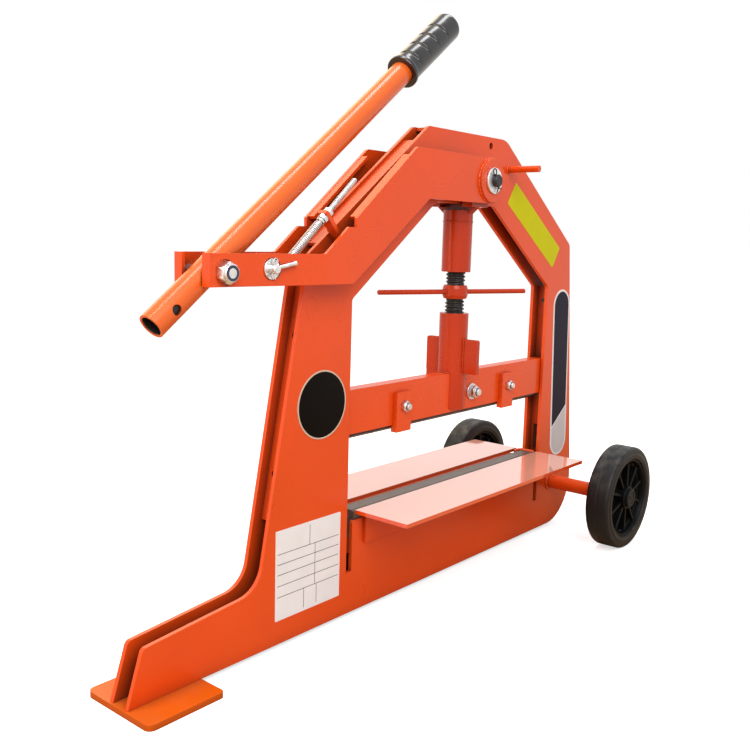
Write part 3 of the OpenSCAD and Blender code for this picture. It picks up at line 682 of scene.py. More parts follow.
@dataclass(frozen=True)
class PlatedSteel(Finish):
    """Bright zinc plating with faint cloudiness."""

    def dress(self, graph: Graph, shader: Node) -> None:
        """Sets the shader's inputs.

        Args:
            graph: The material's graph.
            shader: Its Principled shader.
        """
        mottle = Effects.place(graph, "mottle", broad=160.0, fine=2200.0)
        shade = mottle.outputs["Shade"]
        graph.feed(shader.inputs["Base Color"], graph.mix(shade, self.shaded(0.72), self.colour))
        self.roughen(graph, shader, shade, 0.1, -0.06)
        shader.inputs["Metallic"].default_value = 1.0
        graph.feed(shader.inputs["Normal"], bump(graph, mottle.outputs["Skin"], 0.08, 0.0002))


@dataclass(frozen=True)
class DarkSteel(Finish):
    """Bare blackened steel with bright rubbed edges."""

    bright: Colour = (0.4, 0.39, 0.38)
    metal: float = 0.75

    def dress(self, graph: Graph, shader: Node) -> None:
        """Sets the shader's inputs.

        Args:
            graph: The material's graph.
            shader: Its Principled shader.
        """
        mottle = Effects.place(graph, "mottle", broad=60.0, fine=1500.0)
        edges = Effects.place(graph, "edges", radius=0.0008, scale=200.0, amount=0.8)
        shade = mottle.outputs["Shade"]
        colour = graph.mix(shade, self.shaded(0.6), self.colour)
        graph.feed(shader.inputs["Base Color"], graph.mix(edges.outputs["Chips"], colour, self.bright))
        self.roughen(graph, shader, shade, -0.08, 0.1)
        shader.inputs["Metallic"].default_value = self.metal
        graph.feed(shader.inputs["Normal"],
                   bump(graph, mottle.outputs["Skin"], 0.15, 0.0003, edges.outputs["Normal"]))


@dataclass(frozen=True)
class Moulded(Finish):
    """Moulded rubber or plastic with a fine skin and a little dust."""

    grain: float = 0.12
    dust: float = 0.12
    shine: float = 0.5
    dust_colour: Colour = (0.36, 0.34, 0.31)

    def dress(self, graph: Graph, shader: Node) -> None:
        """Sets the shader's inputs.

        Args:
            graph: The material's graph.
            shader: Its Principled shader.
        """
        mottle = Effects.place(graph, "mottle", broad=24.0, fine=1400.0)
        dust = Effects.place(graph, "dust", scale=60.0, amount=self.dust)
        shade = mottle.outputs["Shade"]
        colour = graph.mix(shade, self.shaded(0.7), self.colour)
        graph.feed(shader.inputs["Base Color"], graph.mix(dust.outputs["Mask"], colour, self.dust_colour))
        self.roughen(graph, shader, shade, -0.06, 0.06)
        shader.inputs["Specular IOR Level"].default_value = self.shine
        graph.feed(shader.inputs["Normal"], bump(graph, mottle.outputs["Skin"], self.grain, 0.0003))


ORANGE = (0.8, 0.077, 0.005)
PAINT = GlossPaint("orange_gloss_paint", ORANGE, 0.26, shine=0.4)
# The table paint carries a strong painted sheen on its faces that look up.
TABLE_PAINT = GlossPaint(
    "orange_table_paint", ORANGE, 0.1, chips=0.3, scuffs=0.0, dust=0.0, painted_top_sheen=0.9, coat=1.0)
FRAME_PAINT = GlossPaint("orange_frame_paint", ORANGE, 0.3, shine=0.4)
# Painted light: a yellower copy of the orange paint, standing in for warm light falling on the handle.
WARM_LIT_HANDLE_PAINT = GlossPaint("orange_handle_paint_warm_lit", (0.76, 0.12, 0.006), 0.25, shine=0.55)
# Painted shade: a darker copy of the orange paint, standing in for the shade on the jack parts inside the
# frame.
SHADED_JACK_PAINT = GlossPaint("orange_jack_paint_shaded", (0.5, 0.036, 0.004), 0.24, shine=0.3)
# Painted light: a yellower copy of the orange paint, standing in for warm light falling on the foot pad.
WARM_LIT_PAD_PAINT = GlossPaint("orange_pad_paint_warm_lit", (0.7, 0.115, 0.005), 0.3, shine=0.15)
ZINC = PlatedSteel("zinc_plate", (0.8, 0.81, 0.83), 0.28)
DULL_ZINC = PlatedSteel("dull_zinc_plate", (0.9, 0.9, 0.92), 0.5)
STEEL = DarkSteel("blackened_steel", (0.02, 0.019, 0.022), 0.4, metal=0.3)
BLADE = DarkSteel("brown_blade_steel", (0.14, 0.1, 0.082), 0.4, metal=0.2)
GRIP_RUBBER = Moulded("grip_black", (0.008, 0.008, 0.01), 0.22, grain=0.03, dust=0.0, shine=0.7)
TYRE_RUBBER = Moulded("tyre_dark_grey", (0.008, 0.009, 0.0105), 0.45, grain=0.15, dust=0.2, shine=0.25)
RIM_PLASTIC = Moulded("rim_black", (0.003, 0.0034, 0.004), 0.4, dust=0.01, shine=0.1)
CAP_PLASTIC = Moulded("cap_grey", (0.011, 0.013, 0.0155), 0.4, dust=0.01, shine=0.12)
NYLON = Moulded("nut_nylon", (0.03, 0.035, 0.08), 0.4, dust=0.0)
BADGE_BLACK = Printed("badge_black", (0.003, 0.002, 0.002), 0.3, shine=0.06)
BADGE_CREAM = Printed("badge_cream", (0.62, 0.5, 0.4), 0.35)
BADGE_NAVY = Printed("badge_navy", (0.012, 0.01, 0.026), 0.3, shine=0.06)
BADGE_GREY = Printed("badge_grey", (0.6, 0.58, 0.61), 0.3)
LABEL_WHITE = Printed("label_white", (0.84, 0.87, 0.92), 0.4)
LABEL_RULE = Printed("label_rule", (0.1, 0.1, 0.11), 0.45)
LABEL_YELLOW = Printed("label_yellow", (0.6, 0.61, 0.006), 0.4, shine=0.08)


def make_piece(name: str, shell: Shell, finish: Finish, body: str,
               stands_for: Iterable[str] = (), sharp: float = 32.0, ride: bool = True) -> bpy.types.Object:
    """Turns a shell into a piece of the object.

    Args:
        name: The piece's name.
        shell: Its mesh.
        finish: Its finish.
        body: The body that it moves with.
        stands_for: CAD nodes that it replaces.
        sharp: Angle in degrees past which an edge stays sharp.
        ride: Whether it rides on the body now.

    Returns:
        The piece.
    """
    mesh = bpy.data.meshes.new(name)
    mesh.from_pydata([tuple(v) for v in shell.verts], [], shell.faces)
    mesh.validate()
    mesh.update()
    mesh.shade_smooth()
    mesh.set_sharp_from_angle(angle=math.radians(sharp))
    mesh.materials.append(finish.material())
    made = bpy.data.objects.new(name, mesh)
    bpy.context.scene.collection.objects.link(made)
    nodes = tuple(stands_for)
    if nodes:
        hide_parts(*nodes)
    if ride:
        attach(made, body)
    LOG.info("piece %s: %d faces on %s", name, len(mesh.polygons), body)
    return made


def hexagon(across: float, height: float) -> Shell:
    """Builds a chamfered hexagon, as a nut or a bolt head.

    Args:
        across: Distance across its flats, in millimetres.
        height: Its height.

    Returns:
        The body along local Z.
    """
    corner = across / 2 / math.cos(math.pi / 6)
    step = (corner - across / 2) * 0.6

    def radius(angle: float, level: float) -> float:
        """Gives the radius of the flats, cut by the chamfer.

        Args:
            angle: Angle round the hexagon, in radians.
            level: Height above its lower face.

        Returns:
            The radius there.
        """
        flat = across / 2 / math.cos((angle + math.pi / 6) % (math.pi / 3) - math.pi / 6)
        end = min(level, height - level)
        return min(flat, across / 2 * 0.985 + end * (corner - across / 2) / step)

    return polar((0.0, step * 0.5, step, height - step, height - step * 0.5, height), radius, 72)


def thread(radius: float, pitch: float, length: float, depth: float = 0.6) -> Shell:
    """Builds a threaded rod with a true helix.

    Args:
        radius: Its crest radius, in millimetres.
        pitch: Its pitch.
        length: Its length.
        depth: Depth of the thread, as a share of the pitch.

    Returns:
        The rod along local Z.
    """
    steps = max(2, round(length / pitch * 10))
    levels = [length * k / steps for k in range(steps + 1)]
    low = radius - depth * pitch

    def crest(angle: float, level: float) -> float:
        """Gives the radius on the helix, with tapered ends.

        Args:
            angle: Angle round the rod, in radians.
            level: Height above its lower end.

        Returns:
            The radius there.
        """
        phase = (level / pitch - angle / (2 * math.pi)) % 1.0
        rise = min(1.0, max(0.0, (0.5 - abs(phase - 0.5)) * 4.0 - 0.45))
        end = min(1.0, min(level, length - level) / pitch + 0.1)
        return low + (radius - low) * rise * end

    return polar(levels, crest, 48)


def shank(radius: float, length: float, chamfer: float = 1.0) -> Shell:
    """Builds a plain rod with chamfered ends along local Z."""
    end = radius - chamfer
    return lathe(((end, 0), (radius, chamfer), (radius, length - chamfer), (end, length)), 40)


def washer(outer: float, inner: float, height: float, ease: float = 0.35) -> Shell:
    """Builds a flat washer with eased edges.

    Args:
        outer: Its outer radius, in millimetres.
        inner: Its inner radius.
        height: Its thickness.
        ease: Width of its eased edges.

    Returns:
        The washer along local Z.
    """
    edge = outer - ease
    section = ((inner, 0), (edge, 0), (outer, ease), (outer, height - ease), (edge, height), (inner, height))
    return lathe(section, 56, ring=True)


def cotter(at: Vector, along: Vector, out: Vector, length: float, wire: float) -> Shell:
    """Builds a split pin: a loop at one end and two legs bent apart at the other.

    Args:
        at: The middle of the hole that it goes through.
        along: The direction from its loop to its legs.
        out: The direction that its loop bulges to.
        length: Length of its straight part, in millimetres.
        wire: Diameter of the wire.

    Returns:
        The mesh in the shared frame.
    """
    along, out = along.normalized(), out.normalized()
    shell = Shell()
    for sign in (-1, 1):
        offset = out * (sign * wire * 0.26 * MM)
        path = []
        for k in range(9):
            a = math.pi * k / 8
            bulge = out * (sign * math.sin(a) * wire * 0.95 * MM)
            back = length / 2 + wire * 1.2 * (1 + math.cos(a))
            path.append(at - along * (back * MM) + bulge + offset * 0.5)
        for k in range(5):
            path.append(at + along * ((k / 4 - 0.5) * length * MM) + offset)
        for k in range(1, 5):
            lean = out * (sign * k * k * 0.1 * wire * MM)
            path.append(at + along * ((length / 2 + k * wire * 0.42) * MM) + offset + lean)
        shell.add(sweep(path, wire / 4, 8))
    return shell


def bead(start: Vector, end: Vector, radius: float) -> Shell:
    """Lays a straight weld bead with ripples.

    Args:
        start: Its first point.
        end: Its last point.
        radius: Its radius, in millimetres.

    Returns:
        The bead.
    """
    steps = max(8, round((end - start).length / (radius * 0.55 * MM)))
    path = [start.lerp(end, k / steps) for k in range(steps + 1)]
    return sweep(path, radius, 8, lambda k: (0.35 if k in (0, steps) else 0.9) + 0.09 * math.sin(k * 1.9)
                 + 0.05 * math.sin(k * 0.7))


def ring_bead(middle: Vector, axis: Vector, ring: float, radius: float, lumps: float = 0.09) -> Shell:
    """Lays a weld bead round a rod.

    Args:
        middle: Middle of the ring.
        axis: Direction of the rod.
        ring: Radius of the ring, in millimetres.
        radius: Radius of the bead.
        lumps: How much the bead swells and shrinks.

    Returns:
        The bead.
    """
    steps = max(24, round(2 * math.pi * ring / (radius * 0.55)))
    place = facing(middle, axis)
    path = [place @ (Vector((math.cos(a), math.sin(a), 0)) * ring * MM) for a in circle(steps)]
    return sweep(path, radius, 8, lambda k: 1.0 - lumps + lumps * math.sin(k * 0.9) * math.cos(k * 0.31))


@dataclass
class Bolting:
    """One crossing bolt: its head on the right side and its locking nut on the left."""

    x: float
    z: float
    seat: float
    diameter: float
    across: float
    head: float
    nut: float
    tail: float
    collar_share: float = 0.22
    collar_r: float = 0.47
    rim_r: float = 0.41
    pitch_share: float = 0.14
    flush_bore: float = 0.38
    nylon_h: float = 0.35

    def at(self, side: Side, out: float = 0.0) -> Matrix:
        """Places a shape on the bolt's axis.

        Args:
            side: The side that it faces.
            out: Its distance out from the seat on that side.

        Returns:
            The placing matrix.
        """
        return facing(row(self.x, side.value * (self.seat + out), self.z), side.axis)

    def metal(self) -> Shell:
        """Builds the bolt and its nut.

        Returns:
            The mesh in the shared frame.
        """
        left, r = Side.LEFT, self.diameter / 2
        shell = hexagon(self.across, self.head).moved(self.at(Side.RIGHT))
        collar = self.nut * self.collar_share
        shell.add(hexagon(self.across, self.nut - collar).moved(self.at(left)))
        wide, rim = self.across * self.collar_r, self.across * self.rim_r
        ring = lathe(((wide, 0), (wide, collar - 1), (rim, collar), (r + 1.3, collar)), 48)
        shell.add(ring.moved(self.at(left, self.nut - collar)))
        shell.add(shank(r, 2 * self.seat).moved(self.at(left, -2 * self.seat)))
        tail = thread(r, self.diameter * self.pitch_share, self.nut + self.tail)
        return shell.add(tail.moved(self.at(left)))

    def nylon(self) -> Shell:
        """Builds the nut's nylon ring.

        Returns:
            The mesh in the shared frame.
        """
        inner = self.diameter * (0.5 if self.tail > 1 else self.flush_bore)
        outer = self.across * self.rim_r - 0.4
        ring = lathe(((inner, 0), (outer, 0), (outer, self.nylon_h), (inner, self.nylon_h)), 48, ring=True)
        return ring.moved(self.at(Side.LEFT, self.nut))


class SubAssembly:
    """A group of pieces that belong together, with the finishes of its CAD nodes."""

    coats: ClassVar[tuple[tuple[Finish, tuple[str, ...]], ...]] = ()

    def dress(self, nodes: dict[str, bpy.types.Object]) -> None:
        """Gives the CAD nodes their finishes.

        Args:
            nodes: The loaded nodes by name.
        """
        for finish, names in self.coats:
            for name in names:
                mesh = nodes[name].data
                mesh.materials.clear()
                mesh.materials.append(finish.material())

    def build(self) -> None:
        """Builds the pieces, which each sub-assembly does in its own way."""
        raise NotImplementedError


@dataclass
class Frame(SubAssembly):
    """The plate frame with its bed, pad and peg, and their weld beads."""

    coats = (
        (FRAME_PAINT, (
            "side_plate_left", "side_plate_right", "front_web", "arm_web", "head_cap", "rear_arm_web",
            "rear_web", "guide_web", "base_strip", "bed_bar", "bearer_left", "bearer_right")),
        (PAINT, ("peg", "spring_lug", "axle")),
        (WARM_LIT_PAD_PAINT, ("foot_pad",)),
        (TABLE_PAINT, ("table_left", "table_right")),
        (BLADE, ("lower_blade",)),
    )
    peg: tuple[float, float] = (775.5, 685.0)
    peg_ring: tuple[float, float] = (6.4, 1.6)
    plugs: tuple[tuple[float, float, tuple[float, float]], ...] = (
        (297.0, 467.0, (9.5, 16.0)), (355.0, 460.0, (7.5, 13.0)))
    plug_r: float = 0.9
    axle_ring: tuple[float, float] = (15.5, 3.4)
    bed_lip: tuple[tuple[float, float, float], ...] = (
        (903.0, 17.5, 163.5), (921.0, 15.5, 164.5), (921.0, -15.5, 164.5))
    lip_r: float = 3.4

    def build(self) -> None:
        """Lays the weld beads of the peg, the axle and the bed, and the plug welds on the front post."""
        left = Side.LEFT.axis
        beads = ring_bead(row(self.peg[0], -PLATE_OUT - 0.6, self.peg[1]), left, *self.peg_ring)
        for x, z, (wide, tall) in self.plugs:
            at = facing(row(x, -PLATE_OUT + 0.5, z), left)
            path = [at @ (Vector((wide * math.cos(a), tall * math.sin(a), 0)) * MM) for a in circle(48)]
            beads.add(sweep(path, self.plug_r, 8))
        for side in Side:
            middle = row(AXLE[0], side.value * (PLATE_OUT + 1.0), AXLE[1])
            beads.add(ring_bead(middle, side.axis, *self.axle_ring))
        for start, end in zip(self.bed_lip, self.bed_lip[1:]):
            beads.add(bead(row(*start), row(*end), self.lip_r))
        make_piece("frame_welds", beads, PAINT, "frame", sharp=60)


@dataclass
class Badges(SubAssembly):
    """The blank badges, plate and strip stuck on the left side plate."""

    disc_at: tuple[float, float] = (321.0, 333.0)
    disc_r: float = 48.5
    pill_at: tuple[float, float, float] = (1000.0, 310.0, 93.5)
    pill_size: tuple[float, float] = (330.0, 62.0)
    plate_at: tuple[float, float] = (299.5, 106.0)
    plate_size: tuple[float, float] = (129.0, 128.0)
    strip_at: tuple[float, float, float] = (874.0, 591.0, -33.5)
    strip_size: tuple[float, float] = (202.0, 44.0)
    inset: float = 4.0
    slant_share: float = 0.23
    lean: float = 18.0
    gap: float = 3.0
    rule_half: float = 0.45

    def place(self, x: float, z: float, angle: float = 0.0) -> Matrix:
        """Places a flat badge on the plate with its local X turned in the plate.

        Args:
            x: Its middle from the foot tip.
            z: Its middle above the ground.
            angle: Turn of its local X from level, in degrees.

        Returns:
            The placing matrix.
        """
        a = math.radians(angle)
        up = Vector((-math.sin(a), 0, math.cos(a)))
        return facing(row(x, -PLATE_OUT, z), Side.LEFT.axis, up)

    def build(self) -> None:
        """Builds each badge."""
        self.disc(self.place(*self.disc_at), self.disc_r)
        self.pill(self.place(*self.pill_at), *self.pill_size)
        self.data_plate(self.place(*self.plate_at), *self.plate_size)
        at = self.place(*self.strip_at)
        strip = slab(rounded_box(*self.strip_size, 3), 0.0, 0.45, 0.12)
        make_piece("yellow_strip", strip.moved(at), LABEL_YELLOW, "frame")

    def disc(self, at: Matrix, r: float) -> None:
        """Builds the plain round badge with its raised border.

        Args:
            at: Its placing matrix.
            r: Its radius.
        """
        middle = lathe(((r - 2, 0), (r - 2, 0.7), (r - 12, 1.0), (r * 0.4, 1.2), (0.5, 1.25)), 96)
        make_piece("round_badge", middle.moved(at), BADGE_BLACK, "frame")
        section = ((r - 2.2, 0), (r, 0), (r, 0.8), (r - 0.5, 1.1), (r - 1.7, 1.1), (r - 2.2, 0.8))
        edge = lathe(section, 96, ring=True)
        make_piece("round_badge_border", edge.moved(at), BADGE_CREAM, "frame")

    def pill(self, at: Matrix, length: float, width: float) -> None:
        """Builds the long blank badge: a dark field, a pale slanted end and a white border.

        Args:
            at: Its placing matrix.
            length: Its length.
            width: Its width.
        """
        border = slab(rounded_box(length, width, width / 2 - 0.1, 20), 0.0, 0.5, 0.15)
        make_piece("long_badge_border", border.moved(at), LABEL_WHITE, "frame")
        half, r = length / 2 - self.inset, width / 2 - self.inset
        low, high = (length * self.slant_share - half + side * self.lean for side in (-1, 1))

        def round_end(middle: float, first: float) -> list[tuple[float, float]]:
            """Outlines half a circle round a place on the length, from its first angle in degrees."""
            angles = [math.radians(first + 180 * k / 24) for k in range(25)]
            return [(middle + r * math.cos(a), r * math.sin(a)) for a in angles]

        dark = slab(round_end(half - r, -90) + [(low, r), (high, -r)], 0.4, 0.8, 0.1)
        make_piece("long_badge_field", dark.moved(at), BADGE_NAVY, "frame")
        pale = slab([(high - self.gap, -r), (low - self.gap, r)] + round_end(r - half, 90), 0.4, 0.75, 0.1)
        make_piece("long_badge_end", pale.moved(at), BADGE_GREY, "frame")

    def data_plate(self, at: Matrix, width: float, height: float) -> None:
        """Builds the blank white plate with empty ruled boxes.

        Args:
            at: Its placing matrix.
            width: Its width.
            height: Its height.
        """
        plate = slab(rounded_box(width, height, 1.5), 0.0, 0.5, 0.12)
        make_piece("blank_plate", plate.moved(at), LABEL_WHITE, "frame")
        rules, thin = Shell(), self.rule_half
        left, right, top, low = 4.0 - width / 2, width / 2 - 4.0, height / 2 - 3.0, 3.0 - height / 2
        levels = [(0.0, share, 1.0, share) for share in (0.25, 0.37, 0.49, 0.62, 0.75)]
        uprights = [(0.51, 0.02, 0.51, 0.25), (0.6, 0.25, 0.6, 0.75),
                    (0.42, 0.75, 0.42, 0.98), (0.63, 0.75, 0.63, 0.98)]
        for x0, y0, x1, y1 in levels + uprights:
            a, b = left + x0 * (right - left) - thin, left + x1 * (right - left) + thin
            c, d = top - y1 * (top - low) - thin, top - y0 * (top - low) + thin
            rules.add(slab([(a, c), (b, c), (b, d), (a, d)], 0.45, 0.58))
        make_piece("blank_plate_rules", rules.moved(at), LABEL_RULE, "frame")


@dataclass
class Beam(SubAssembly):
    """The sliding beam with its blade, clamps, bolts and slotted jack foot."""

    coats = (
        (PAINT, ("beam", "clamp_left", "clamp_right")),
        (SHADED_JACK_PAINT, ("jack_foot",)),
        (STEEL, ("upper_blade",)),
    )
    bolt_z: float = 308.0
    clamp_x: tuple[float, float] = (505.5, 807.5)
    saddle_x: float = 700.5
    saddle_washer: tuple[float, float, float] = (14.0, 6.1, 3.0)
    half_t: float = 11.0
    foot_r: float = 24.4
    fin_weld_x: float = 4.6
    fin_weld_z: tuple[float, float] = (348.0, 401.0)
    fin_weld_r: float = 1.8
    toe_weld: tuple[float, float, float] = (24.0, 11.8, 345.6)
    toe_weld_r: float = 1.6
    fin_half_t: float = 3.8
    fin_out: float = 50.6
    gusset_top: float = 345.2

    def build(self) -> None:
        """Builds the bolts and the welds."""
        metal, nylon = Shell(), Shell()
        for x in self.clamp_x:
            clamp = Bolting(
                x, self.bolt_z, seat=19.0, diameter=10.0, across=16.0, head=6.0, nut=8.0, tail=4.0)
            metal.add(clamp.metal())
            nylon.add(clamp.nylon())
        make_piece("clamp_bolting", metal, ZINC, "beam", ("clamp_bolts",))
        saddle = Bolting(
            self.saddle_x, self.bolt_z, seat=14.0, diameter=12.0, across=19.0, head=7.0, nut=11.0, tail=4.0)
        metal = saddle.metal()
        nylon.add(saddle.nylon())
        for side in Side:
            middle = row(self.saddle_x, side.value * self.half_t, self.bolt_z)
            metal.add(washer(*self.saddle_washer).moved(facing(middle, side.axis)))
        make_piece("saddle_bolting", metal, ZINC, "beam", ("saddle_bolt",))
        make_piece("beam_nylon", nylon, NYLON, "beam")
        beads = Shell()
        for side in Side:
            for end in (-1, 1):
                x, y = JACK_X + end * self.fin_weld_x, side.value * self.foot_r
                beads.add(bead(*(row(x, y, z) for z in self.fin_weld_z), self.fin_weld_r))
        back, half, z = self.toe_weld
        beads.add(bead(row(JACK_X - back, -half, z), row(JACK_X - back, half, z), self.toe_weld_r))
        beads.add(self.fin_gusset())
        make_piece("jack_foot_welds", beads, SHADED_JACK_PAINT, "beam", sharp=60)

    def fin_gusset(self) -> Shell:
        """Builds the small gusset that carries the far fin down the beam's side.

        Returns:
            The mesh in the shared frame.
        """
        inner, outer, half = self.half_t, self.fin_out, self.fin_half_t
        outline = ((inner, 0.0), (inner, -26.0), (outer - 6.6, -20.0), (outer, -14.0), (outer, 0.0))
        turn = Matrix(((0, 0, 1, 0), (1, 0, 0, 0), (0, 1, 0, 0), (0, 0, 0, 1)))
        place = Matrix.Translation(row(JACK_X, 0, self.gusset_top)) @ turn
        return slab(outline, -half, half, 0.5).moved(place)


@dataclass
class Jack(SubAssembly):
    """The jack head, the screw and its hub with the hand rod."""

    coats = ((SHADED_JACK_PAINT, ("jack_head", "hub")),)
    screw_r: float = 16.0
    pitch: float = 6.0
    depth: float = 0.42
    low: float = 377.0
    high: float = 583.7
    rod_z: float = 479.0
    hub_h: float = 22.0
    rod_angle: float = -18.5
    rod_length: float = 300.0
    rod_r: float = 4.0
    rod_start: float = 17.0
    rod_weld: float = 21.2
    rod_bead: tuple[float, float] = (4.6, 1.3)
    head_weld: float = 593.5
    head_bead: tuple[float, float] = (24.3, 1.1)

    def build(self) -> None:
        """Builds the threaded screw, the hand rod and the head's weld."""
        bottom, top = self.rod_z - self.hub_h / 2, self.rod_z + self.hub_h / 2

        def upright(part: Shell, z: float) -> Shell:
            """Stands a part on the jack's axis."""
            return part.moved(facing(row(JACK_X, 0, z), UP))

        shell = upright(thread(self.screw_r, self.pitch, bottom - self.low, self.depth), self.low)
        shell.add(upright(shank(self.screw_r, self.hub_h, 0.4), bottom))
        shell.add(upright(thread(self.screw_r, self.pitch, self.high - top, self.depth), top))
        make_piece("jack_screw", shell, STEEL, "screw", ("screw",))
        rod = Shell()
        a = math.radians(self.rod_angle)
        middle = row(JACK_X, 0, self.rod_z)
        for sign in (-1, 1):
            axis = Vector((math.cos(a), math.sin(a), 0)) * sign
            half = shank(self.rod_r, self.rod_length / 2 - self.rod_start, 0.8)
            rod.add(half.moved(facing(middle + axis * self.rod_start * MM, axis)))
            rod.add(ring_bead(middle + axis * self.rod_weld * MM, axis, *self.rod_bead))
        make_piece("hand_rod_welded", rod, SHADED_JACK_PAINT, "hub", ("hand_rod",))
        beads = ring_bead(row(JACK_X, 0, self.head_weld), UP, *self.head_bead)
        make_piece("jack_head_weld", beads, SHADED_JACK_PAINT, "jack_head", sharp=60)


@dataclass
class Lever(SubAssembly):
    """The lever with its eccentrics, bosses and fasteners."""

    coats = (
        (PAINT, ("lever_plate_left", "lever_plate_right", "boss_discs", "spring_peg")),
        (STEEL, ("eccentrics",)),
        (ZINC, ("spring_eye",)),
    )
    pivot: tuple[float, float] = (672.439, 659.0)
    lock: tuple[float, float] = (201.0, 522.0)
    bolt_seat: float = 33.683
    lock_seat: float = 40.294
    lock_r: float = 6.0
    lock_tail: float = 12.0
    lock_washer: tuple[float, float, float] = (13.0, 6.1, 2.5)
    lock_split_out: float = 5.0
    lock_split: tuple[float, float] = (12.0, 3.2)
    bar_out: float = 8.5
    bar_r: float = 2.6
    bar_l: float = 35.0
    boss_out: float = 50.3
    boss_bead: tuple[float, float, float] = (34.4, 2.4, 0.3)
    pin_r: float = 10.0
    pin_half: float = 66.5
    pin_washer_out: float = 55.4
    pin_washer: tuple[float, float, float] = (20.5, 10.1, 3.0)
    pin_split_out: float = 61.5
    pin_split: tuple[float, float] = (21.0, 4.0)

    def build(self) -> None:
        """Builds the fasteners of the nose and of the pivot, and the welds of the bosses."""
        nose = Bolting(
            *NOSE_BOLT, seat=self.bolt_seat, diameter=16.0, across=24.0, head=10.0, nut=16.0, tail=0.2)
        make_piece("nose_bolting", nose.metal(), ZINC, "lever", ("nose_bolt", "nose_nut"))
        make_piece("nose_nylon", nose.nylon(), NYLON, "lever")
        self.lock_pin()
        self.pivot_pin()
        beads = Shell()
        for side in Side:
            middle = row(self.pivot[0], side.value * self.boss_out, self.pivot[1])
            beads.add(ring_bead(middle, side.axis, *self.boss_bead))
        make_piece("boss_welds", beads, PAINT, "lever", sharp=70)

    def lock_pin(self) -> None:
        """Builds the lock pin with its washer, split pin and pull bar."""
        x, z = self.lock
        seat, r, length = self.lock_seat, self.bar_r, self.bar_l
        left = Side.LEFT.axis
        pin = shank(self.lock_r, 2 * seat + self.lock_tail, 1.2).moved(facing(row(x, seat, z), left))
        head = lathe(((8.4, 0), (9.6, 0.8), (9.6, 4.0), (8.0, 5.0)), 48)
        pin.add(head.moved(facing(row(x, seat, z), Side.RIGHT.axis)))
        make_piece("lock_pin_turned", pin, ZINC, "lever", ("lock_pin",))
        disc = washer(*self.lock_washer).moved(facing(row(x, -seat, z), left))
        make_piece("lock_pin_washer", disc, ZINC, "lever", ("lock_washer",))
        hole = row(x, -seat - self.lock_split_out, z)
        split = cotter(hole, Vector((-0.3, 0, -1)), Vector((1, 0, -0.3)), *self.lock_split)
        make_piece("lock_pin_cotter", split, ZINC, "lever", ("lock_split_pin",))
        bar = shank(r, length, 0.6)
        bar.add(lathe(((r, length - 4.0), (3.5, length - 3.2), (3.5, length - 0.6), (2.4, length + 0.4)), 32))
        place = facing(row(x, -seat - self.bar_out, z + 1.0), Vector((1, 0, 0.18)))
        make_piece("lock_pin_bar", bar.moved(place), ZINC, "lever")

    def pivot_pin(self) -> None:
        """Builds the pivot pin with its washers and split pins."""
        x, z = self.pivot
        half = self.pin_half
        pin = shank(self.pin_r, 2 * half, 1.4).moved(facing(row(x, half, z), Side.LEFT.axis))
        make_piece("pivot_pin_turned", pin, STEEL, "frame", ("pivot_pin",))
        discs, splits = Shell(), Shell()
        for side in Side:
            seat = facing(row(x, side.value * self.pin_washer_out, z), side.axis)
            discs.add(washer(*self.pin_washer).moved(seat))
            hole = row(x, side.value * self.pin_split_out, z)
            splits.add(cotter(hole, Vector((0.5, 0, -1)), Vector((1, 0, 0.5)), *self.pin_split))
        make_piece("pivot_pin_washers", discs, DULL_ZINC, "frame", ("pivot_washers",))
        make_piece("pivot_pin_cotters", splits, STEEL, "frame", ("pivot_split_pin",))


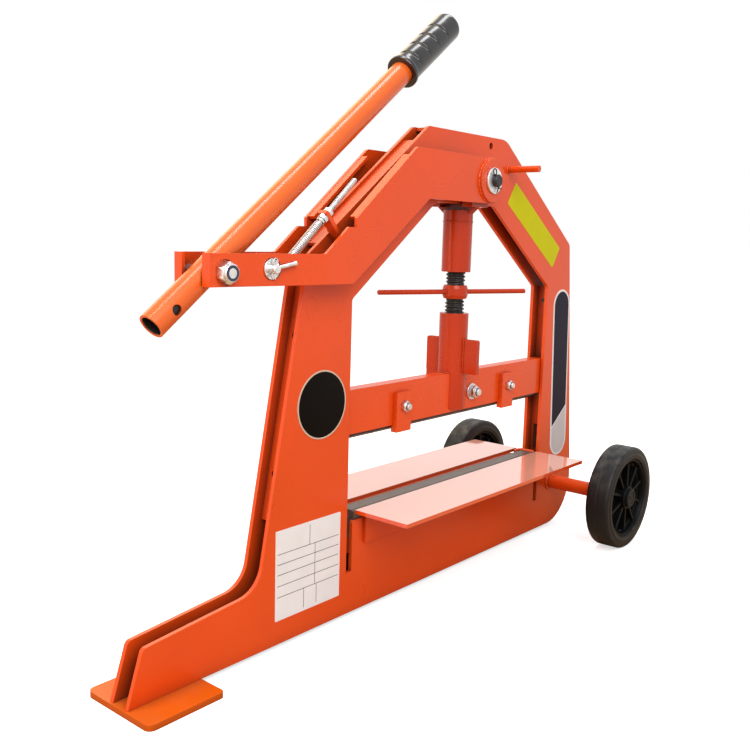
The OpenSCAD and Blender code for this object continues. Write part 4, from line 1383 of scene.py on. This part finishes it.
@dataclass
class ReturnSpring(SubAssembly):
    """The coil spring from the lever's peg to its adjuster on the frame."""

    peg: tuple[float, float] = (218.4, 509.6)
    lug: tuple[float, float] = (311.984, 590.951)
    y: float = -26.0
    start: float = 20.0
    length: float = 88.0
    curls: int = 32
    curl_steps: int = 24
    mean_r: float = 5.0
    wire: float = 2.0
    rod_r: float = 4.0
    rod_pitch: float = 1.25
    rod_end: float = 200.5
    plug: tuple[float, float] = (3.5, 16.0)
    collar: tuple[float, float, float] = (6.0, 3.4, 3.0)
    nut_size: tuple[float, float] = (12.8, 6.5)
    nut_seats: tuple[float, float] = (-9.5, 3.0)

    @property
    def span(self) -> float:
        """Gives the distance from the peg to the lug."""
        return math.hypot(self.lug[0] - self.peg[0], self.lug[1] - self.peg[1])

    def at(self, s: float, side: float = 0.0, out: float = 0.0) -> Vector:
        """Gives a point beside the spring's axis.

        Args:
            s: Distance from the peg along the axis, in millimetres.
            side: Distance from the axis in the plane of the frame.
            out: Distance from the axis across the frame.

        Returns:
            The point in the shared frame.
        """
        ux, uz = ((high - low) / self.span for low, high in zip(self.peg, self.lug))
        return row(self.peg[0] + ux * s - uz * side, self.y + out, self.peg[1] + uz * s + ux * side)

    def build(self) -> None:
        """Builds the coil, the threaded adjuster and its nuts."""
        path = []
        steps = self.curls * self.curl_steps
        for k in range(steps + 1):
            a = 2 * math.pi * k / self.curl_steps
            s = self.start + self.length * k / steps
            path.append(self.at(s, self.mean_r * math.sin(a), self.mean_r * math.cos(a)))
        shell = sweep(path, self.wire / 2, 10)
        coil = make_piece(
            "return_coil", shell, ZINC, "frame", ("return_spring",), sharp=60, ride=False)
        end = self.start + self.length
        tuple(self.at(end - 6))
        tuple(self.at(self.start + 6))
        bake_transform(coil)
        axis = self.at(1.0) - self.at(0.0)
        rod = shank(*self.plug, 0.4).moved(facing(self.at(end - 12), axis))
        rod.add(washer(*self.collar).moved(facing(self.at(end + 2), axis)))
        threaded = thread(self.rod_r, self.rod_pitch, self.rod_end - end - 4.0)
        rod.add(threaded.moved(facing(self.at(end + 4), axis)))
        make_piece("adjuster_rod", rod, ZINC, "frame", ("spring_adjuster",))
        nuts = Shell()
        for seat in self.nut_seats:
            nuts.add(hexagon(*self.nut_size).moved(facing(self.at(self.span + seat), axis)))
        make_piece("adjuster_lock_nuts", nuts, ZINC, "frame", ("adjuster_nuts",))


@dataclass
class Handle(SubAssembly):
    """The folding handle with its moulded grip."""

    coats = ((WARM_LIT_HANDLE_PAINT, ("handle_tube",)),)
    angle: float = 38.0
    start: float = 465.0
    length: float = 143.0
    radius: float = 22.0
    flange: float = 25.0
    flange_edge: float = 1.2
    flange_h: float = 5.2
    neck: float = 9.0
    grooves: int = 4
    groove_first: float = 22.0
    groove_step: float = 27.0
    groove_half: float = 2.7
    groove_deep: float = 2.9
    hollow: float = 0.7
    plain: float = 14.0
    ring_step: float = 0.75
    dome: float = 9.0
    below: float = 101.0
    bore: float = 27.3
    sleeve: float = 60.0

    def build(self) -> None:
        """Builds a dark bare-steel lining inside the tube, whose closed dark end is painted shade deep in the
        tube, and the grip with its flange, grooves and round end.
        """
        a = math.radians(self.angle)
        axis = Vector((math.cos(a), 0, math.sin(a)))
        up = Vector((-math.sin(a), 0, math.cos(a)))

        def along(distance: float) -> Matrix:
            """Places a shape on the tube's axis, at a distance from the nose bolt."""
            return facing(row(NOSE_BOLT[0], 0, NOSE_BOLT[1]) + axis * distance * MM, axis, up)

        # A dark lining with a closed end: bare steel inside the tube, and its closed end is painted shade
        # deep in the tube.
        deep, r = self.sleeve, self.bore / 2 - 0.05
        section = ((0.5, deep), (r, deep), (r, 1.5), (r - 0.5, 1.0), (r - 0.5, deep - 2.0), (0.5, deep - 2.0))
        inside = lathe(section, 48).moved(along(-self.below))
        make_piece("tube_lining_and_shade_plug", inside, STEEL, "handle")
        shoulder = self.length - self.dome
        levels = [0.0, self.flange_edge, 4.0, self.flange_h, 6.5, self.neck, 12.0]
        count = int((shoulder - self.plain) / self.ring_step) + 1
        levels += [self.plain + self.ring_step * k for k in range(count)]
        levels += [shoulder + self.dome * math.sin(math.radians(b)) for b in range(10, 91, 10)]
        grip = polar(levels, self.grip_radius, 64).moved(along(self.start))
        make_piece("moulded_grip", grip, GRIP_RUBBER, "handle", ("grip",), sharp=50)

    def grip_radius(self, angle: float, level: float) -> float:
        """Gives the radius of the flange, the grooves and the domed end.

        Args:
            angle: Angle round the grip, in radians, with its top at a quarter turn.
            level: Distance from the flange's face, in millimetres.

        Returns:
            The radius there.
        """
        shoulder = self.length - self.dome
        if level <= self.flange_h:
            return self.flange - max(0.0, self.flange_edge - level) * 0.6
        if level < self.neck:
            share = (self.neck - level) / (self.neck - self.flange_h)
            return self.radius + (self.flange - self.radius) * share
        if level > shoulder:
            drop = min(1.0, (level - shoulder) / self.dome)
            return self.radius - self.dome * (1 - math.sqrt(max(0.0, 1 - drop * drop)))
        phase = (level - self.groove_first) / self.groove_step
        if not -0.5 < phase < self.grooves - 0.5:
            return self.radius
        line = abs((phase + 0.5) % 1.0 - 0.5) * self.groove_step
        dip = max(0.0, 1.0 - (line / self.groove_half) ** 2) * self.groove_deep
        dip += self.hollow * (1.0 - 2.0 * line / self.groove_step) ** 2
        top = min(1.0, max(0.0, 1.6 * math.sin(angle) + 0.1))
        return self.radius - dip * top


@dataclass
class Wheel(SubAssembly):
    """One wheel: rubber tyre and ribbed rim."""

    side: Side
    middle: float = 165.0
    radius: float = 95.5
    width: float = 46.0
    shoulder: float = 6.0
    rim: float = 73.5
    bore: float = 10.05
    ribs: int = 10
    rib_size: tuple[float, float, float] = (44.0, 5.0, 11.0)
    rib_r: float = 42.0
    rib_seat: float = 5.0

    def build(self) -> None:
        """Builds the tyre and the rim."""
        word = self.side.name.lower()
        body = "wheel_" + word
        at = facing(row(AXLE[0], self.side.value * self.middle, AXLE[1]), self.side.axis)
        tyre, rim = self.tyre().moved(at), self.rim_shell().moved(at)
        make_piece("rubber_tyre_" + word, tyre, TYRE_RUBBER, body, ("tyre_" + word,))
        make_piece("ribbed_rim_" + word, rim, RIM_PLASTIC, body, ("rim_" + word,))

    def tyre(self) -> Shell:
        """Turns the tyre's section.

        Returns:
            The tyre along local Z.
        """
        h, r, s = self.width / 2, self.radius, self.shoulder
        steps = ((0.0, 3.0), (1.0, 1.2), (4.0, 0.9), (5.0, 0.1), (8.0, 0.0), (10.0, 0.3), (11.0, 1.0))
        half = [(self.rim + out, up - h) for out, up in steps]
        for degrees in range(10, 91, 10):
            a = math.radians(degrees)
            half.append((r - s + s * math.sin(a), -h + s + 1.0 - s * math.cos(a)))
        half += [(r, -2.0), (r - 0.4, -1.4), (r - 0.4, 0.0)]
        return lathe(half + [(x, -z) for x, z in reversed(half[:-1])], 128, ring=True)

    def rim_shell(self) -> Shell:
        """Builds the rim's channel, web, hub and ribs.

        Returns:
            The rim along local Z.
        """
        h, r, b = self.width / 2, self.rim, self.bore
        half = [(b, -21.0), (b + 9.0, -21.0), (b + 11.5, -18.5), (b + 12.0, -6.0), (r - 9.0, -6.0),
                (r - 6.0, -8.5), (r - 5.0, 6.0 - h), (r - 3.8, 4.2 - h), (r - 1.0, 4.0 - h), (r, 5.0 - h)]
        shell = lathe(half + [(x, -z) for x, z in reversed(half)], 96, ring=True)
        length, thick, high = self.rib_size
        rib = slab(rounded_box(length, thick, 2.0, 4), 0.0, high, 1.2)
        for k in range(self.ribs):
            turn = Matrix.Rotation(2 * math.pi * (k + 0.5) / self.ribs, 4, "Z")
            for face in (-1, 1):
                out = Matrix.Translation(Vector((self.rib_r, 0, self.rib_seat * face)) * MM)
                flip = Matrix.Rotation(math.pi if face < 0 else 0.0, 4, "X")
                shell.add(rib.moved(turn @ out @ flip))
        return shell


@dataclass
class AxleCaps(SubAssembly):
    """The two caps pushed on the axle's ends."""

    inner: float = 186.6
    outer: float = 191.0
    radius: float = 17.0

    def build(self) -> None:
        """Builds both caps."""
        shell = Shell()
        r, deep = self.radius, self.outer - self.inner
        cap = lathe(((10.2, 0), (r, 0), (r, deep - 1.6), (r - 1.4, deep - 0.5), (r - 5.0, deep - 0.3),
                     (r - 5.8, deep - 1.4), (4.0, deep - 1.2), (3.2, deep - 0.2), (0.6, deep)), 64)
        for side in Side:
            middle = row(AXLE[0], side.value * self.inner, AXLE[1])
            shell.add(cap.moved(facing(middle, side.axis)))
        make_piece("axle_end_caps", shell, CAP_PLASTIC, "frame", ("axle_caps",))


@dataclass(frozen=True)
class Lamp:
    """A large soft lamp that faces the machine, with its place and edges in metres and its power in watts."""

    name: str
    at: tuple[float, float, float]
    size: tuple[float, float]
    power: float
    colour: Colour = (1.0, 1.0, 1.0)
    aim: tuple[float, float, float] = (0.0, 0.0, 0.4)

    def hang(self) -> None:
        """Makes the lamp."""
        data = bpy.data.lights.new(self.name, "AREA")
        data.shape = "RECTANGLE"
        data.size, data.size_y = self.size
        data.energy = self.power
        data.color = self.colour
        made = bpy.data.objects.new(self.name, data)
        at = Vector(self.at)
        made.matrix_world = facing(at, at - Vector(self.aim), Side.RIGHT.axis)
        bpy.context.scene.collection.objects.link(made)


class Studio:
    """The camera, the pale floor and the soft light."""

    place = Vector((-1.10621, -0.85281, 0.56417))
    heading = Vector((0.75906, 0.63298, -0.15218))
    up = Vector((0.09895, 0.11886, 0.98797))
    focal_share = 893.06 / 750.0
    sensor = 36.0
    half_floor = 30.0
    pale = (0.8, 0.8, 0.8)
    bounce = (0.55, 0.38, 0.24)
    glow = 0.62
    sky = 0.5
    lamps = (
        Lamp("key", (-1.9, -2.3, 2.5), (2.2, 2.2), 90.0),
        Lamp("fill", (-2.7, 0.6, 1.3), (2.0, 2.0), 30.0, (1.0, 0.8, 0.5)),
        Lamp("back", (0.9, 2.6, 2.4), (2.4, 2.4), 42.0, (1.0, 0.72, 0.36)),
        Lamp("ceiling", (0.1, 0.0, 2.7), (2.4, 0.5), 34.0),
    )

    def build(self) -> None:
        """Sets up the view, the stage and the lamps."""
        bpy.context.scene.view_settings.view_transform = "Standard"
        self.camera()
        self.floor()
        self.world()
        for lamp in self.lamps:
            lamp.hang()

    def camera(self) -> None:
        """Makes the camera at the photograph's viewing angle."""
        data = bpy.data.cameras.new("view")
        data.sensor_width = self.sensor
        data.lens = self.sensor * self.focal_share
        data.clip_start, data.clip_end = 0.01, 100.0
        made = bpy.data.objects.new("view", data)
        back = -self.heading.normalized()
        right = self.up.cross(back).normalized()
        top = back.cross(right)
        made.matrix_world = Matrix.Translation(self.place) @ Matrix((right, top, back)).transposed().to_4x4()
        bpy.context.scene.collection.objects.link(made)
        bpy.context.scene.camera = made

    def floor(self) -> None:
        """Makes the pale floor, which stays white to the camera but keeps the shadow, and glows only in
        reflections, more so further out, as a painted reflection.
        """
        mesh = bpy.data.meshes.new("pale_floor")
        far = self.half_floor
        square = [(-far, -far, 0.0), (far, -far, 0.0), (far, far, 0.0), (-far, far, 0.0)]
        mesh.from_pydata(square, [], [(0, 1, 2, 3)])
        made = bpy.data.objects.new("pale_floor", mesh)
        material = bpy.data.materials.new("pale_floor")
        material.use_nodes = True
        graph = Graph(material.node_tree)
        graph.tree.nodes.clear()
        out = graph.node("ShaderNodeOutputMaterial")
        matt = graph.node("ShaderNodeBsdfDiffuse")
        rays = graph.node("ShaderNodeLightPath")
        seen = rays.outputs["Is Camera Ray"]
        graph.feed(matt.inputs["Color"], graph.mix(seen, self.bounce, self.pale))
        glow = graph.node("ShaderNodeEmission")
        shown = graph.math("MULTIPLY", seen, self.glow)
        shape = graph.node("ShaderNodeNewGeometry")
        away = graph.node("ShaderNodeVectorMath", operation="LENGTH")
        graph.feed(away.inputs[0], shape.outputs["Position"])
        # Painted reflection: the floor glows only to reflections, more so further from the middle.
        reflection_glow = graph.spread(away.outputs["Value"], 0.9, 3.2, 0.0, 0.9)
        reflection_glow = graph.math("MULTIPLY", rays.outputs["Is Glossy Ray"], reflection_glow)
        graph.feed(glow.inputs["Strength"], graph.math("ADD", shown, reflection_glow))
        both = graph.node("ShaderNodeAddShader")
        graph.feed(both.inputs[0], matt.outputs[0])
        graph.feed(both.inputs[1], glow.outputs[0])
        graph.feed(out.inputs["Surface"], both.outputs[0])
        mesh.materials.append(material)
        bpy.context.scene.collection.objects.link(made)

    def world(self) -> None:
        """Makes a white surround for the camera and a plain soft light for the object."""
        world = bpy.data.worlds.new("surround")
        bpy.context.scene.world = world
        world.use_nodes = True
        graph = Graph(world.node_tree)
        graph.tree.nodes.clear()
        out = graph.node("ShaderNodeOutputWorld")
        rays = graph.node("ShaderNodeLightPath")
        shown = graph.math("MAXIMUM", rays.outputs["Is Camera Ray"], rays.outputs["Is Glossy Ray"])
        shown = graph.math("MAXIMUM", shown, rays.outputs["Is Transmission Ray"])
        sky = graph.node("ShaderNodeBackground")
        graph.feed(sky.inputs["Strength"], graph.spread(shown, 0.0, 1.0, self.sky, 1.0))
        graph.feed(out.inputs["Surface"], sky.outputs[0])
        sky.inputs["Color"].default_value = (1.0, 1.0, 1.0, 1.0)


def main() -> None:
    """Builds the machine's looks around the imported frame."""
    logging.basicConfig(level=logging.INFO, format="%(name)s: %(message)s")
    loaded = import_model()
    Studio().build()
    parts: list[SubAssembly] = [Frame(), Badges(), Beam(), Jack(), Lever(), Handle(), ReturnSpring()]
    parts += [Wheel(side) for side in Side]
    parts.append(AxleCaps())
    for part in parts:
        part.dress(loaded["nodes"])
    for part in parts:
        part.build()


if __name__ == "__main__":
    main()
